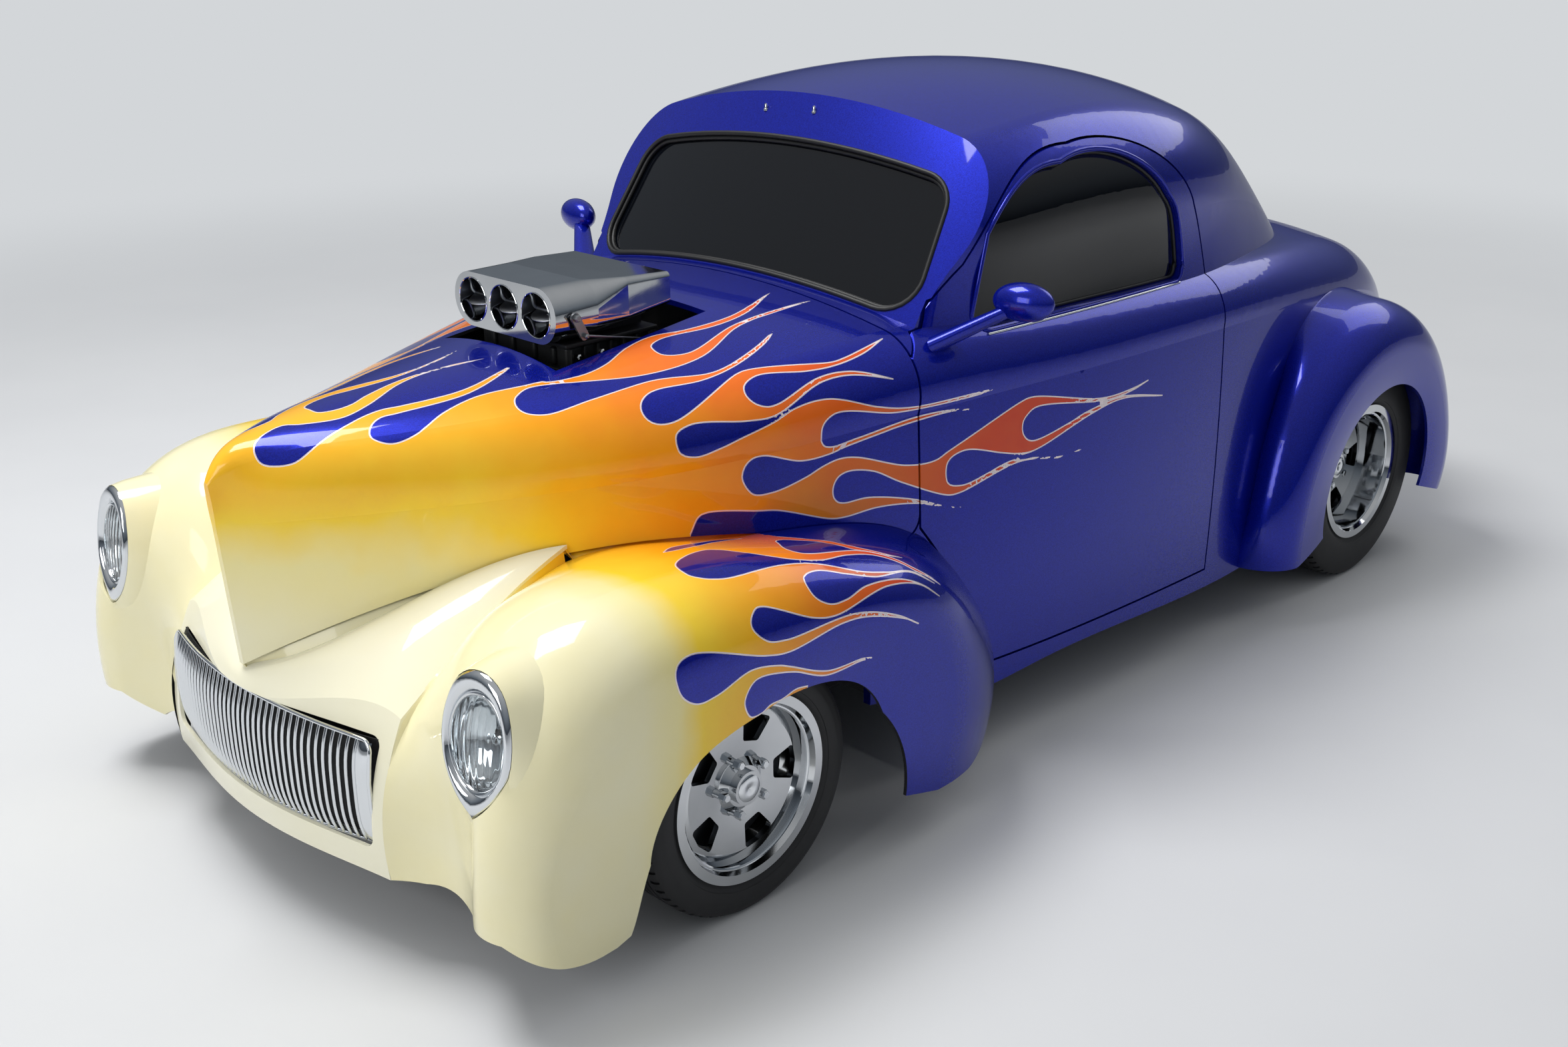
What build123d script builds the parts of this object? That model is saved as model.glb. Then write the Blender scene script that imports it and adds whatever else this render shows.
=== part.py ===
from build123d import *
from math import cos, radians, sin
import os

# Hot rod coupe with a prow nose, pontoon fenders and an open air scoop.
# Millimetres. X is to the car's left, Y runs rearward, Z is up from the floor.
# Stations count rearward from the front axle. The finished pieces are moved
# at the end so that the middle of the car's length is at Y 0.

# body sizes
wheelbase = 2642.0
noseY = -708.0
tailY = 3566.0
noseTipTopZ = 945.0
leanZ = 600.0
panelGap = 6.0
swingGap = 10.0
lidGap = 8.0
hoodSkin = 10.0
doorWall = 40.0
fenderSkin = 9.0
glassThick = 6.0
glassInset = 16.0
fitGap = 0.3
shaftGap = 0.5
hoodRearY = 702.0
doorLowZ = 242.0
sillZ = 188.0
doorSideX = 690.0
doorInnerX = 420.0
frontWall = 22.0
pillarX = 586.0
farOut = 1100.0

# windshield: rake from upright, radius of its bow, foot of its centre line,
# corner rounding, then the rear window
windshieldRake = 33.8
windshieldBow = 3100.0
windshieldFootY = 751.0
windshieldFootZ = 1161.0
windshieldHeight = 350.0
windshieldRound = 88.0
rearWindowWide = 640.0
rearWindowTall = 205.0
rearWindowRound = 90.0
rearWindowZ = 1180.0

# fenders: fan centres and wheel openings
frontFanY = 40.0
frontFanZ = 230.0
rearFanY = 2620.0
rearFanZ = 330.0
rearArchY = 2596.0
rearArchZ = 284.0
rearArchR = 308.0
frontSkirtZ = 112.0
rearSkirtZ = 188.0
noseSkirtZ = 185.0
noseFrontX = 448.0
noseRearX = 360.0
noseFrontY = -760.0
noseRearY = 200.0

# wheels, tyres and axles
frontAxleZ = 288.0
frontTyreR = 288.0
frontTyreWidth = 140.0
frontTyreX = 766.0
frontDisc = 22.0
rearAxleZ = 334.0
rearTyreR = 334.0
rearTyreWidth = 290.0
rearTyreX = 676.0
rearDisc = 30.0
tyreBeadIn = 14.0
tyreShoulder = 18.0
tyreFlats = 60
rimLipR = 211.0
rimSeatR = 192.0
rimBarrelR = 184.0
rimLipThick = 6.0
hubR = 46.0
spindleR = 17.0
windowCount = 5
lugCircleR = 62.0
lugR = 9.0
kingpinX = 700.0
kingpinR = 12.0
kingpinHalf = 56.0
earThick = 18.0
earR = 24.0

# frame and floor
railX = 330.0
railWidth = 60.0
railHeight = 84.0
floorZ = 196.0
floorThick = 16.0
rearFloorZ = 488.0
bulkheadY = 2080.0
firewallY = 640.0
axleTubeR = 40.0
beamR = 24.0
beamZ = 172.0
frontRailZ = 216.0

# scoop and engine
scoopY = 45.0
scoopLength = 340.0
scoopHalf = 187.0
scoopRearHalf = 178.0
scoopZ = 1172.0
scoopHeight = 126.0
scoopRearHeight = 74.0
scoopHoles = 3
scoopHoleR = 50.0
scoopHolePitch = 116.0
holeFrontY = 22.0
holeRearY = 474.0
holeFrontHalf = 208.0
holeRearHalf = 200.0
shaftR = 5.0
blowerHalf = 120.0
blowerY0 = 137.0
blowerY1 = 343.0
blowerTopZ = 1132.0

# deck lid, cowl and wheel wells
lidFrontY = 2985.0
lidFrontZ = 1015.0
lidLength = 520.0
lidFrontHalf = 390.0
lidRearHalf = 300.0
cowlFrontY = 600.0
hoopThick = 22.0
hoopReach = 46.0
firewallTopZ = 1110.0
wellWall = 8.0
rearFloorEndY = 3330.0
railFrontY = -560.0
railRearY = 3320.0
tieHoleX = 50.0
tieHoleZ = 20.0
tieHoleR = 6.5
wheelWellR = 352.0
wheelWellX = 506.0

# grille
grilleHalf = 402.0
grilleLowZ = 248.0
grilleTopZ = 482.0
grilleY = -706.0
grilleBow = 62.0
grilleDeep = 26.0
grilleBars = 35
barWidth = 7.0

# mirrors
mirrorX = 800.0
mirrorY = 900.0
mirrorZ = 1165.0

# seat, dash and steering wheel
seatHalf = 560.0
seatFrontY = 1420.0
seatRearY = 1900.0
cushionTall = 230.0
backTall = 560.0
backThick = 120.0
backLean = 16.0
dashHalf = 580.0
dashRearY = 860.0
dashLowZ = 930.0
dashTopZ = 1040.0
steerX = 330.0
steerWheelR = 170.0
steerRimR = 12.0

# lamps
lampX = 733.0
lampY = -604.0
lampZ = 590.0
lampGlassWide = 77.0
lampGlassTall = 97.0
lampWide = 92.0
lampTop = 141.0
lampTip = 149.0
lampDeep = 70.0
lampProud = 12.0

parts = {}


def mirrored(shape):
    return shape.mirror(Plane.YZ)


def one(shape):
    """The largest solid of a boolean result."""
    return max(shape.solids(), key=lambda s: s.volume)


def crossBox(x0, x1, y0, y1, z0, z1):
    """A box from its corners."""
    return Pos((x0 + x1) / 2, (y0 + y1) / 2, (z0 + z1) / 2) * Box(x1 - x0, y1 - y0, z1 - z0)


def arcSide(a, b, c):
    """A side-view arc through three station and height pairs."""
    return Edge.make_three_point_arc(Vector(0, *a), Vector(0, *b), Vector(0, *c))


def lineSide(a, b):
    return Edge.make_line(Vector(0, *a), Vector(0, *b))


def sidePrism(face, x0, x1):
    """A side-view face pushed across the car from x0 to x1."""
    return Solid.extrude(face.moved(Location(Vector(x0, 0, 0))), Vector(x1 - x0, 0, 0))


def discX(radius, x0, x1, y, z):
    """A round bar along X."""
    return Pos((x0 + x1) / 2, y, z) * Rot(0, 90, 0) * Cylinder(radius, x1 - x0)


def discZ(radius, z0, z1, x, y):
    return Pos(x, y, (z0 + z1) / 2) * Cylinder(radius, z1 - z0)


# body rings
# (station, lean, lowHalf, lowZ, creaseHalf, creaseZ, shoulderHalf, shoulderZ, topZ, bulge)
tubRings = [
    (noseY + 0.070 * (noseTipTopZ - leanZ), 0.070, 8, 470, 8, 850, 8, noseTipTopZ - 7, noseTipTopZ, 0),
    (-652, 0.068, 33, 470, 34, 852, 27, 962, 988, 1),
    (-580, 0.060, 88, 470, 90, 854, 68, 992, 1022, 3),
    (-400, 0.040, 208, 470, 212, 858, 158, 1008, 1048, 6),
    (0, 0.0, 424, 440, 430, 868, 335, 1030, 1088, 10),
    (400, 0.0, 590, 330, 580, 892, 478, 1062, 1122, 8),
    (700, 0.0, 684, sillZ, 660, 915, 552, 1094, 1150, 4),
    (1100, 0.0, 744, sillZ, 722, 925, 612, 1085, 1145, 6),
    (1600, 0.0, 772, sillZ, 752, 925, 640, 1075, 1130, 8),
    (2100, 0.0, 770, sillZ, 742, 915, 620, 1062, 1110, 8),
    (2650, 0.0, 700, 240, 672, 875, 530, 1020, 1070, 8),
    (3100, 0.0, 590, 280, 570, 780, 430, 920, 965, 8),
    (3400, 0.0, 450, 330, 440, 630, 320, 735, 765, 6),
    (tailY, 0.0, 290, 390, 285, 455, 210, 520, 540, 4),
]

# cabin rings: station, low edge, waist, shoulder, top
cabinRings = [
    (640, 600, 900, 570, 1240, 430, 1442, 1492),
    (900, 676, 900, 628, 1240, 480, 1480, 1538),
    (1200, 726, 900, 668, 1240, 515, 1515, 1584),
    (1550, 745, 900, 683, 1250, 520, 1530, 1604),
    (1900, 728, 900, 660, 1240, 490, 1492, 1568),
    (2250, 654, 900, 566, 1190, 399, 1384, 1458),
    (2500, 568, 900, 482, 1110, 326, 1248, 1314),
    (2700, 476, 880, 399, 1020, 262, 1108, 1146),
    (2840, 400, 860, 330, 930, 210, 975, 995),
]

# fender fans: angle up from rearward, inner edge, crown, widest point, hidden lip
# (angle, innerX, innerR, crownX, crownR, outerX, outerR, lipX, lipR)
frontFan = [
    (-14, 722, 872, 838, 752, 905, 500, 898, 300),
    (0, 722, 868, 842, 746, 910, 510, 902, 300),
    (15, 702, 826, 826, 752, 912, 540, 904, 310),
    (32, 655, 772, 790, 700, 912, 530, 904, 320),
    (60, 540, 548, 765, 576, 912, 440, 904, 310),
    (90, 442, 494, 752, 552, 912, 400, 904, 290),
    (108, 390, 508, 742, 594, 912, 430, 904, 290),
    (122, 392, 528, 738, 664, 910, 490, 902, 290),
    (136, 405, 570, 736, 730, 904, 550, 896, 290),
    (150, 420, 640, 735, 734, 895, 590, 888, 290),
    (165, 436, 688, 728, 692, 880, 610, 874, 290),
    (180, 438, 682, 712, 668, 868, 602, 862, 290),
    (195, 434, 660, 698, 625, 860, 570, 854, 290),
]
rearFan = [
    (-18, 540, 560, 735, 546, 880, 440, 870, 330),
    (0, 540, 552, 742, 543, 884, 440, 874, 330),
    (30, 560, 540, 762, 508, 894, 402, 884, 310),
    (60, 590, 552, 778, 524, 902, 398, 892, 300),
    (90, 620, 568, 788, 546, 906, 406, 896, 300),
    (120, 660, 584, 800, 564, 908, 424, 898, 310),
    (135, 715, 532, 830, 566, 908, 438, 898, 320),
    (150, 736, 505, 845, 562, 907, 452, 897, 330),
    (165, 744, 502, 850, 564, 906, 466, 896, 340),
    (180, 750, 548, 845, 586, 905, 482, 895, 350),
    (196, 748, 630, 840, 600, 900, 500, 890, 350),
]

# nose panel strips: half station, hood edge, brow, chin, foot as station and height
noseStrips = [
    (436.0, (-95, 722), (-360, 625), (-575, 520), (-640, 300), (-636, noseSkirtZ)),
    (212.0, (-395, 655), (-540, 612), (-650, 520), (-684, 300), (-676, noseSkirtZ)),
    (0.0, (-640, 540), (-680, 522), (-696, 488), (-704, 300), (-694, noseSkirtZ)),
]


# door corners going around from the foot, side view:
# (station, height, station and height of the arc to the next corner or None, slant)
doorCorners = [
    (926, doorLowZ, 835, 440, 0.0),
    (hoodRearY + panelGap, 640, None, None, 0.0),
    (hoodRearY + panelGap, 1040, None, None, 0.0),
    (905, 1225, 1036, 1380, 0.10),
    (1300, 1460, 1588, 1418, 0.20),
    (1788, 1250, 1856, 1130, 0.16),
    (1862, 1000, None, None, 0.0),
    (1818, doorLowZ, None, None, 0.0),
]

# wheel opening of the front fender, side view: corner and arc to the next one
frontOpening = [
    (-372, 100, None, None),
    (-316, 262, -262, 415),
    (-150, 487, 20, 508),
    (200, 460, 345, 350),
    (405, 130, None, None),
    (405, -300, None, None),
    (-372, -300, None, None),
]


def sideLoop(corners):
    """A side-view face from corners, each with the arc to the next or a line."""
    edges = []
    for index, (y, z, midY, midZ) in enumerate(corners):
        nextY, nextZ = corners[(index + 1) % len(corners)][:2]
        if midY is None:
            edges.append(lineSide((y, z), (nextY, nextZ)))
        else:
            edges.append(arcSide((y, z), (midY, midZ), (nextY, nextZ)))
    return Face(Wire(edges))


def ringEdges(at, low, crease, shoulder, topZ, bulge, soft):
    """One body cross section, over the top and back along the low edge."""
    lowX, lowZ = low
    creaseX, creaseZ = crease
    shoulderX, shoulderZ = shoulder
    top = Edge.make_three_point_arc(at(-shoulderX, shoulderZ), at(0, topZ), at(shoulderX, shoulderZ))
    right = Edge.make_tangent_arc(at(shoulderX, shoulderZ), top % 1, at(creaseX, creaseZ))
    left = Edge.make_tangent_arc(at(-shoulderX, shoulderZ), -(top % 0), at(-creaseX, creaseZ))
    if soft:
        lowRight = Edge.make_tangent_arc(at(creaseX, creaseZ), right % 1, at(lowX, lowZ))
        lowLeft = Edge.make_tangent_arc(at(-creaseX, creaseZ), left % 1, at(-lowX, lowZ))
    else:
        midX = (lowX + creaseX) / 2 + bulge
        midZ = (lowZ + creaseZ) / 2
        lowRight = Edge.make_three_point_arc(at(creaseX, creaseZ), at(midX, midZ), at(lowX, lowZ))
        lowLeft = Edge.make_three_point_arc(at(-creaseX, creaseZ), at(-midX, midZ), at(-lowX, lowZ))
    base = Edge.make_line(at(lowX, lowZ), at(-lowX, lowZ))
    return [top, right, lowRight, base, lowLeft, left]


def tubSolid(inset=0.0, first=0, last=None):
    """The lower body from prow to tail, shrunk by inset."""
    wires = []
    for row in tubRings[first:last]:
        y, lean, lowX, lowZ, creaseX, creaseZ, shoulderX, shoulderZ, topZ, bulge = row

        def at(x, z):
            return Vector(x, y - lean * (z - leanZ), z)

        drop = 60.0 if inset > 0 else 0.0
        edges = ringEdges(
            at,
            (lowX - inset, lowZ - drop),
            (creaseX - inset, creaseZ - inset * 0.3),
            (shoulderX - inset * 0.7, shoulderZ - inset * 0.8),
            topZ - inset,
            bulge + 0.01,
            False,
        )
        wires.append(Wire(edges))
    return Solid.make_loft(wires)


def windshieldDrum(inset):
    """The bowed windshield face as the front of a large leaning drum."""
    rake = radians(windshieldRake)
    foot = Vector(0, windshieldFootY, windshieldFootZ)
    middle = foot + Vector(0, cos(rake), -sin(rake)) * windshieldBow
    frame = Plane(middle, x_dir=(1, 0, 0), z_dir=(0, sin(rake), cos(rake)))
    return frame * Cylinder(windshieldBow - inset, 9000)


def cabinSolid(inset=0.0, front=None):
    """The roof and window band above the belt, shrunk by inset."""
    wires = []
    for y, lowX, lowZ, waistX, waistZ, shoulderX, shoulderZ, topZ in cabinRings:
        back = inset if y > wheelbase - 100 else 0.0

        def at(x, z):
            return Vector(x, y - back, z)

        edges = ringEdges(
            at,
            (lowX - inset, lowZ - (40.0 if inset else 0.0)),
            (waistX - inset, waistZ - inset * 0.3),
            (shoulderX - inset * 0.7, shoulderZ - inset * 0.8),
            topZ - inset,
            0,
            True,
        )
        wires.append(Wire(edges))
    return one(Solid.make_loft(wires) & windshieldDrum(inset if front is None else front))


def hoodOutline():
    """Side view of the hood: its seam over the fenders and its rear edge."""
    dip = arcSide((-740, 500), (-345, 685), (48, 733))
    fall = arcSide((48, 733), (370, 694), (620, 625))
    corner = arcSide((620, 625), (680, 632), (hoodRearY, 676))
    return Face(
        Wire(
            [
                dip,
                fall,
                corner,
                lineSide((hoodRearY, 676), (hoodRearY, 1300)),
                lineSide((hoodRearY, 1300), (-800, 1300)),
                lineSide((-800, 1300), (-800, 500)),
                lineSide((-800, 500), (-740, 500)),
            ]
        )
    )


def doorPrism(grow=0.0):
    """The door's outline across its wall, leaning back where the arch is high."""
    wires = []
    for x in (doorInnerX, farOut):

        def at(y, z, slant):
            return Vector(x, y + slant * (x - doorSideX), z)

        edges = []
        for index, (y, z, midY, midZ, slant) in enumerate(doorCorners):
            nextY, nextZ, _, _, nextSlant = doorCorners[(index + 1) % len(doorCorners)]
            start, end = at(y, z, slant), at(nextY, nextZ, nextSlant)
            if midY is None:
                edges.append(Edge.make_line(start, end))
            else:
                middle = at(midY, midZ, (slant + nextSlant) / 2)
                edges.append(Edge.make_three_point_arc(start, middle, end))
        wire = Wire(edges)
        wires.append(wire.offset_2d(grow, kind=Kind.INTERSECTION) if grow else wire)
    return Solid.make_loft(wires, ruled=True)


def windowOutline():
    """Side view of the door window, an arch over a straight lower edge."""
    sharp = sideLoop(
        [
            (938, 1068, None, None),
            (962, 1290, 1060, 1380),
            (1230, 1422, 1480, 1412),
            (1640, 1300, 1725, 1190),
            (1748, 1068, None, None),
        ]
    )
    low = sharp.vertices().sort_by(Axis.Z)[0:2]
    return fillet(low, 30).face()


def windshieldOutline(shrink=0.0):
    """The windshield opening as a prism through the front of the cabin."""
    rake = radians(windshieldRake)
    frame = Plane(
        (0, windshieldFootY, windshieldFootZ),
        x_dir=(1, 0, 0),
        z_dir=(0, -cos(rake), sin(rake)),
    )
    low, high = -34.0, windshieldHeight - 36
    edges = [
        Edge.make_three_point_arc((-566, low, 0), (0, 0, 0), (566, low, 0)),
        Edge.make_line((566, low, 0), (534, high, 0)),
        Edge.make_three_point_arc((534, high, 0), (0, windshieldHeight, 0), (-534, high, 0)),
        Edge.make_line((-534, high, 0), (-566, low, 0)),
    ]
    flat = Face(Wire(edges))
    flat = fillet(flat.vertices(), windshieldRound).face()
    if shrink:
        flat = offset(flat, amount=-shrink).face()
    placed = frame * flat
    into = Vector(0, -cos(rake), sin(rake))
    return Solid.extrude(placed.face().moved(Location(into * 60)), into * -260)


def rearWindowPrism(shrink=0.0):
    """The rear window opening, pushed forward through the back of the cabin."""
    wide, tall = rearWindowWide - 2 * shrink, rearWindowTall - 2 * shrink
    flat = RectangleRounded(wide, tall, rearWindowRound - shrink)
    frame = Plane((0, lidFrontY, rearWindowZ), x_dir=(1, 0, 0), z_dir=(0, -1, 0))
    return extrude(frame * flat, lidFrontY - 2350)


def fanSolid(rows, middleY, middleZ):
    """A fender shell from sections that fan about a line across the car."""
    wires = []
    for angle, innerX, innerR, crownX, crownR, outerX, outerR, lipX, lipR in rows:
        turn = radians(angle)

        def at(x, r):
            return Vector(x, middleY + r * cos(turn), middleZ + r * sin(turn))

        up = Vector(0, cos(turn), sin(turn))
        skins = []
        for depth in (0.0, fenderSkin):
            widest = at(outerX - depth, outerR)
            shoulder = Edge.make_tangent_arc(widest, up, at(crownX - depth * 0.5, crownR - depth))
            deck = Edge.make_tangent_arc(
                shoulder @ 1, shoulder % 1, at(innerX + depth * 0.6, innerR - depth * 0.8)
            )
            flank = Edge.make_tangent_arc(widest, -up, at(lipX - depth, lipR))
            skins.append((flank, shoulder, deck))
        (flank, shoulder, deck), (flankIn, shoulderIn, deckIn) = skins
        inner = Edge.make_line(deck @ 1, deckIn @ 1)
        lip = Edge.make_line(flankIn @ 1, flank @ 1)
        wires.append(Wire([flank, shoulder, deck, inner, deckIn, shoulderIn, flankIn, lip]))
    return Solid.make_loft(wires)


def frontFender():
    """The left front fender with its wheel opening and lower edges."""
    shell = fanSolid(frontFan, frontFanY, frontFanZ)
    shell = shell - sidePrism(sideLoop(frontOpening), 0, farOut)
    shell = shell - crossBox(0, farOut, -900, 1100, -300, frontSkirtZ)
    underNose = Face(
        Wire(
            [
                Edge.make_line((0, 0, -300), (690, 0, -300)),
                Edge.make_line((690, 0, -300), (690, 0, frontSkirtZ)),
                Edge.make_three_point_arc((690, 0, frontSkirtZ), (620, 0, 172), (500, 0, noseSkirtZ)),
                Edge.make_line((500, 0, noseSkirtZ), (0, 0, noseSkirtZ)),
                Edge.make_line((0, 0, noseSkirtZ), (0, 0, -300)),
            ]
        )
    )
    shell = shell - Solid.extrude(underNose.moved(Location((0, -900, 0))), Vector(0, 860, 0))
    chin = sideLoop(
        [
            (-900, -300, None, None),
            (-440, -300, None, None),
            (-440, frontSkirtZ, -566, 148),
            (-642, 212, None, None),
            (-900, 262, None, None),
        ]
    )
    shell = shell - sidePrism(chin, 600, farOut)
    lowRear = Face(
        Wire(
            [
                lineSide((420, -300), (1100, -300)),
                lineSide((1100, -300), (1100, 330)),
                lineSide((1100, 330), (868, 330)),
                arcSide((868, 330), (775, 165), (600, frontSkirtZ)),
                lineSide((600, frontSkirtZ), (420, frontSkirtZ)),
                lineSide((420, frontSkirtZ), (420, -300)),
            ]
        )
    )
    return shell - sidePrism(lowRear, 0, farOut)


def rearFender():
    """The left rear fender with its wheel opening and lower edges."""
    shell = fanSolid(rearFan, rearFanY, rearFanZ)
    shell = shell - discX(rearArchR, 0, farOut, rearArchY, rearArchZ)
    shell = shell - crossBox(0, farOut, rearArchY - rearArchR, rearArchY + rearArchR, -300, rearArchZ)
    return shell - crossBox(0, farOut, 1500, 3600, -300, rearSkirtZ)


def nosePanel():
    """The panel around the grille between the two front fenders."""
    strips = [(-row[0],) + row[1:] for row in noseStrips[:-1]] + noseStrips[::-1]
    wires = []
    for x, hoodEdge, brow, chin, jaw, foot in strips:
        loops = []
        for depth in (0.0, fenderSkin):

            def at(pair, back, down):
                return Vector(x, pair[0] + depth * back, pair[1] - depth * down)

            top = Edge.make_three_point_arc(at(hoodEdge, 0, 1), at(brow, 0.3, 0.9), at(chin, 0.8, 0.5))
            front = Edge.make_three_point_arc(top @ 1, at(jaw, 1, 0), at(foot, 1, 0))
            loops.append((top, front))
        (top, front), (topIn, frontIn) = loops
        hem = Edge.make_line(front @ 1, frontIn @ 1)
        lip = Edge.make_line(topIn @ 0, top @ 0)
        wires.append(Wire([top, front, hem, frontIn, topIn, lip]))
    return Solid.make_loft(wires)


def planPrism(points, z0, z1):
    """A prism from plan-view corners."""
    face = Face(Wire(Polyline(*[(x, y, z0) for x, y in points], close=True)))
    return Solid.extrude(face, Vector(0, 0, z1 - z0))


def lidPrism(grow=0.0):
    """The deck lid's outline pushed through the tail along its own normal."""
    normal = Vector(0, 0.545, 0.838)
    frame = Plane((0, lidFrontY, lidFrontZ), x_dir=(1, 0, 0), z_dir=normal)
    corners = Polyline(
        (-lidFrontHalf, 0), (lidFrontHalf, 0), (lidRearHalf, lidLength), (-lidRearHalf, lidLength), close=True
    )
    flat = Face(Wire(corners))
    flat = fillet(flat.vertices(), 60).face()
    if grow:
        flat = offset(flat, amount=grow).face()
    return Solid.extrude((frame * flat).moved(Location(normal * -120)), normal * 400)


def bodyPieces():
    """Hood, doors, deck lid, shell and glass, all cut from the same skins."""
    tub = tubSolid()
    cabin = cabinSolid()
    wall = one(tub + cabin) - one(tubSolid(doorWall, 3) + cabinSolid(doorWall, frontWall))

    hoodFace = hoodOutline()
    hood = one((tub & sidePrism(hoodFace, -farOut, farOut)) - tubSolid(hoodSkin, 1, 8))
    hole = [
        (-holeFrontHalf, holeFrontY),
        (holeFrontHalf, holeFrontY),
        (holeRearHalf, holeRearY),
        (-holeRearHalf, holeRearY),
    ]
    parts["hood"] = one(hood - planPrism(hole, 940, 1340))

    pillarFree = windshieldDrum(frontWall + panelGap) + crossBox(
        pillarX + panelGap, farOut, -100, 2200, 0, 1700)
    window = sidePrism(windowOutline(), doorInnerX, farOut)
    door = one((wall & doorPrism() & pillarFree) - window)
    parts["door_left"] = door
    parts["door_right"] = mirrored(door)
    doorWay = doorPrism(panelGap) & (
        windshieldDrum(frontWall) + crossBox(pillarX, farOut, -100, 2200, 0, 1700))

    outer = cabinSolid(glassInset) + tubSolid(glassInset, 4)
    inner = cabinSolid(glassInset + glassThick) + tubSolid(glassInset + glassThick, 4)
    pane = sidePrism(offset(windowOutline(), amount=-fitGap).face(), doorInnerX, farOut)
    glass = one((outer - inner) & pane)
    parts["door_glass_left"] = glass
    parts["door_glass_right"] = mirrored(glass)
    parts["deck_lid"] = one(wall & lidPrism())

    hoodGrown = sidePrism(offset(hoodFace, amount=panelGap).face(), -farOut, farOut)
    shell = wall - hoodGrown - doorWay - mirrored(doorWay) - lidPrism(lidGap)
    shell = shell - windshieldOutline() - rearWindowPrism()
    shell = shell - crossBox(-farOut, farOut, -900, cowlFrontY, -100, 1300)
    for side in (-1, 1):
        inner, outer = sorted((side * wheelWellX, side * farOut))
        shell = shell - discX(wheelWellR, inner, outer, wheelbase, rearAxleZ)
    hoop = tubSolid(doorWall, 3) - tubSolid(doorWall + hoopThick, 3)
    hoop = hoop & crossBox(-farOut, farOut, cowlFrontY, hoodRearY + hoopReach, floorZ, 1200)
    recess = (tub - tubSolid(doorWall + lidGap, 3)) & (doorWay + mirrored(doorWay))
    parts["body_shell"] = one(shell + (hoop - recess))

    drum = windshieldDrum(glassInset) - windshieldDrum(glassInset + glassThick)
    parts["windshield"] = one(drum & windshieldOutline(fitGap))
    rear = cabinSolid(glassInset) - cabinSolid(glassInset + glassThick)
    parts["rear_window"] = one(rear & rearWindowPrism(fitGap))
    return tub


def floorPan():
    """Floor, firewall, rear bulkhead, raised rear floor and wheel wells."""
    room = tubSolid(doorWall, 3)
    front = tubSolid(doorWall + hoopThick, 3)
    hoopEnd = hoodRearY + hoopReach
    pan = front & crossBox(-farOut, farOut, firewallY, hoopEnd, floorZ, floorZ + floorThick)
    pan = pan + (room & crossBox(-farOut, farOut, hoopEnd, bulkheadY, floorZ, floorZ + floorThick))
    pan = pan + (front & crossBox(-farOut, farOut, firewallY, firewallY + floorThick, floorZ, firewallTopZ))
    rise = bulkheadY + floorThick
    top = rearFloorZ + floorThick
    pan = pan + (room & crossBox(-farOut, farOut, bulkheadY, rise, floorZ, top))
    pan = pan + (room & crossBox(-farOut, farOut, bulkheadY, rearFloorEndY, rearFloorZ, top))
    for side in (-1, 1):
        x0, x1 = sorted((side * (wheelWellX - wellWall), side * farOut))
        c0, c1 = sorted((side * wheelWellX, side * farOut))
        well = discX(wheelWellR + wellWall, x0, x1, wheelbase, rearAxleZ) & room
        pan = pan + (well & crossBox(-farOut, farOut, bulkheadY, rearFloorEndY, rearFloorZ, 900))
        pan = pan - discX(wheelWellR, c0, c1, wheelbase, rearAxleZ)
    parts["floor_pan"] = one(pan)


def frameRails():
    """Two rails with kick-ups and the cross members that join them."""
    low = floorZ - railHeight
    frontTop = frontRailZ + railHeight
    rearLow = rearFloorZ - railHeight
    corners = [
        (railFrontY, frontRailZ),
        (420, frontRailZ),
        (560, low),
        (bulkheadY + 60, low),
        (wheelbase - 260, rearLow),
        (railRearY, rearLow),
        (railRearY, rearFloorZ),
        (wheelbase - 300, rearFloorZ),
        (wheelbase - 300, rearFloorZ - 6),
        (bulkheadY + floorThick + 4, floorZ),
        (620, floorZ),
        (480, frontTop),
        (railFrontY, frontTop),
    ]
    profile = Face(Wire(Polyline(*[(0, y, z) for y, z in corners], close=True)))
    half = railWidth / 2
    frame = None
    for side in (-1, 1):
        rail = sidePrism(profile, side * railX - half, side * railX + half)
        frame = rail if frame is None else frame + rail
    for y, z in [(railFrontY + 30, frontRailZ), (1150, low), (2040, low), (railRearY - 30, rearLow)]:
        frame = frame + crossBox(-railX, railX, y - 30, y + 30, z + 4, z + railHeight - 4)
    middleZ = railHeight / 2
    for y, z in [(railFrontY, frontRailZ + middleZ), (railRearY, rearLow + middleZ)]:
        for x in (-tieHoleX, tieHoleX):
            for rise in (-tieHoleZ, tieHoleZ):
                frame = frame - Pos(x, y, z + rise) * Rot(90, 0, 0) * Cylinder(tieHoleR, 200)
    parts["frame_rails"] = one(frame)


def lampOutline(grow=0.0):
    """The headlight bezel's outline, rounded above and pointed below."""
    turnX, turnY = lampWide * 0.815, lampTop * 0.638
    crown = Edge.make_three_point_arc((turnX, turnY), (0, lampTop), (-turnX, turnY))
    left = Edge.make_tangent_arc((-turnX, turnY), crown % 1, (-lampWide, 0))
    right = Edge.make_tangent_arc((turnX, turnY), -(crown % 0), (lampWide, 0))
    lowLeft = Edge.make_three_point_arc((-lampWide, 0), (-lampWide * 0.68, -lampTip * 0.62), (0, -lampTip))
    lowRight = Edge.make_three_point_arc((0, -lampTip), (lampWide * 0.68, -lampTip * 0.62), (lampWide, 0))
    face = Face(Wire([crown, left, lowLeft, lowRight, right]))
    return offset(face, amount=grow).face() if grow else face


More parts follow.
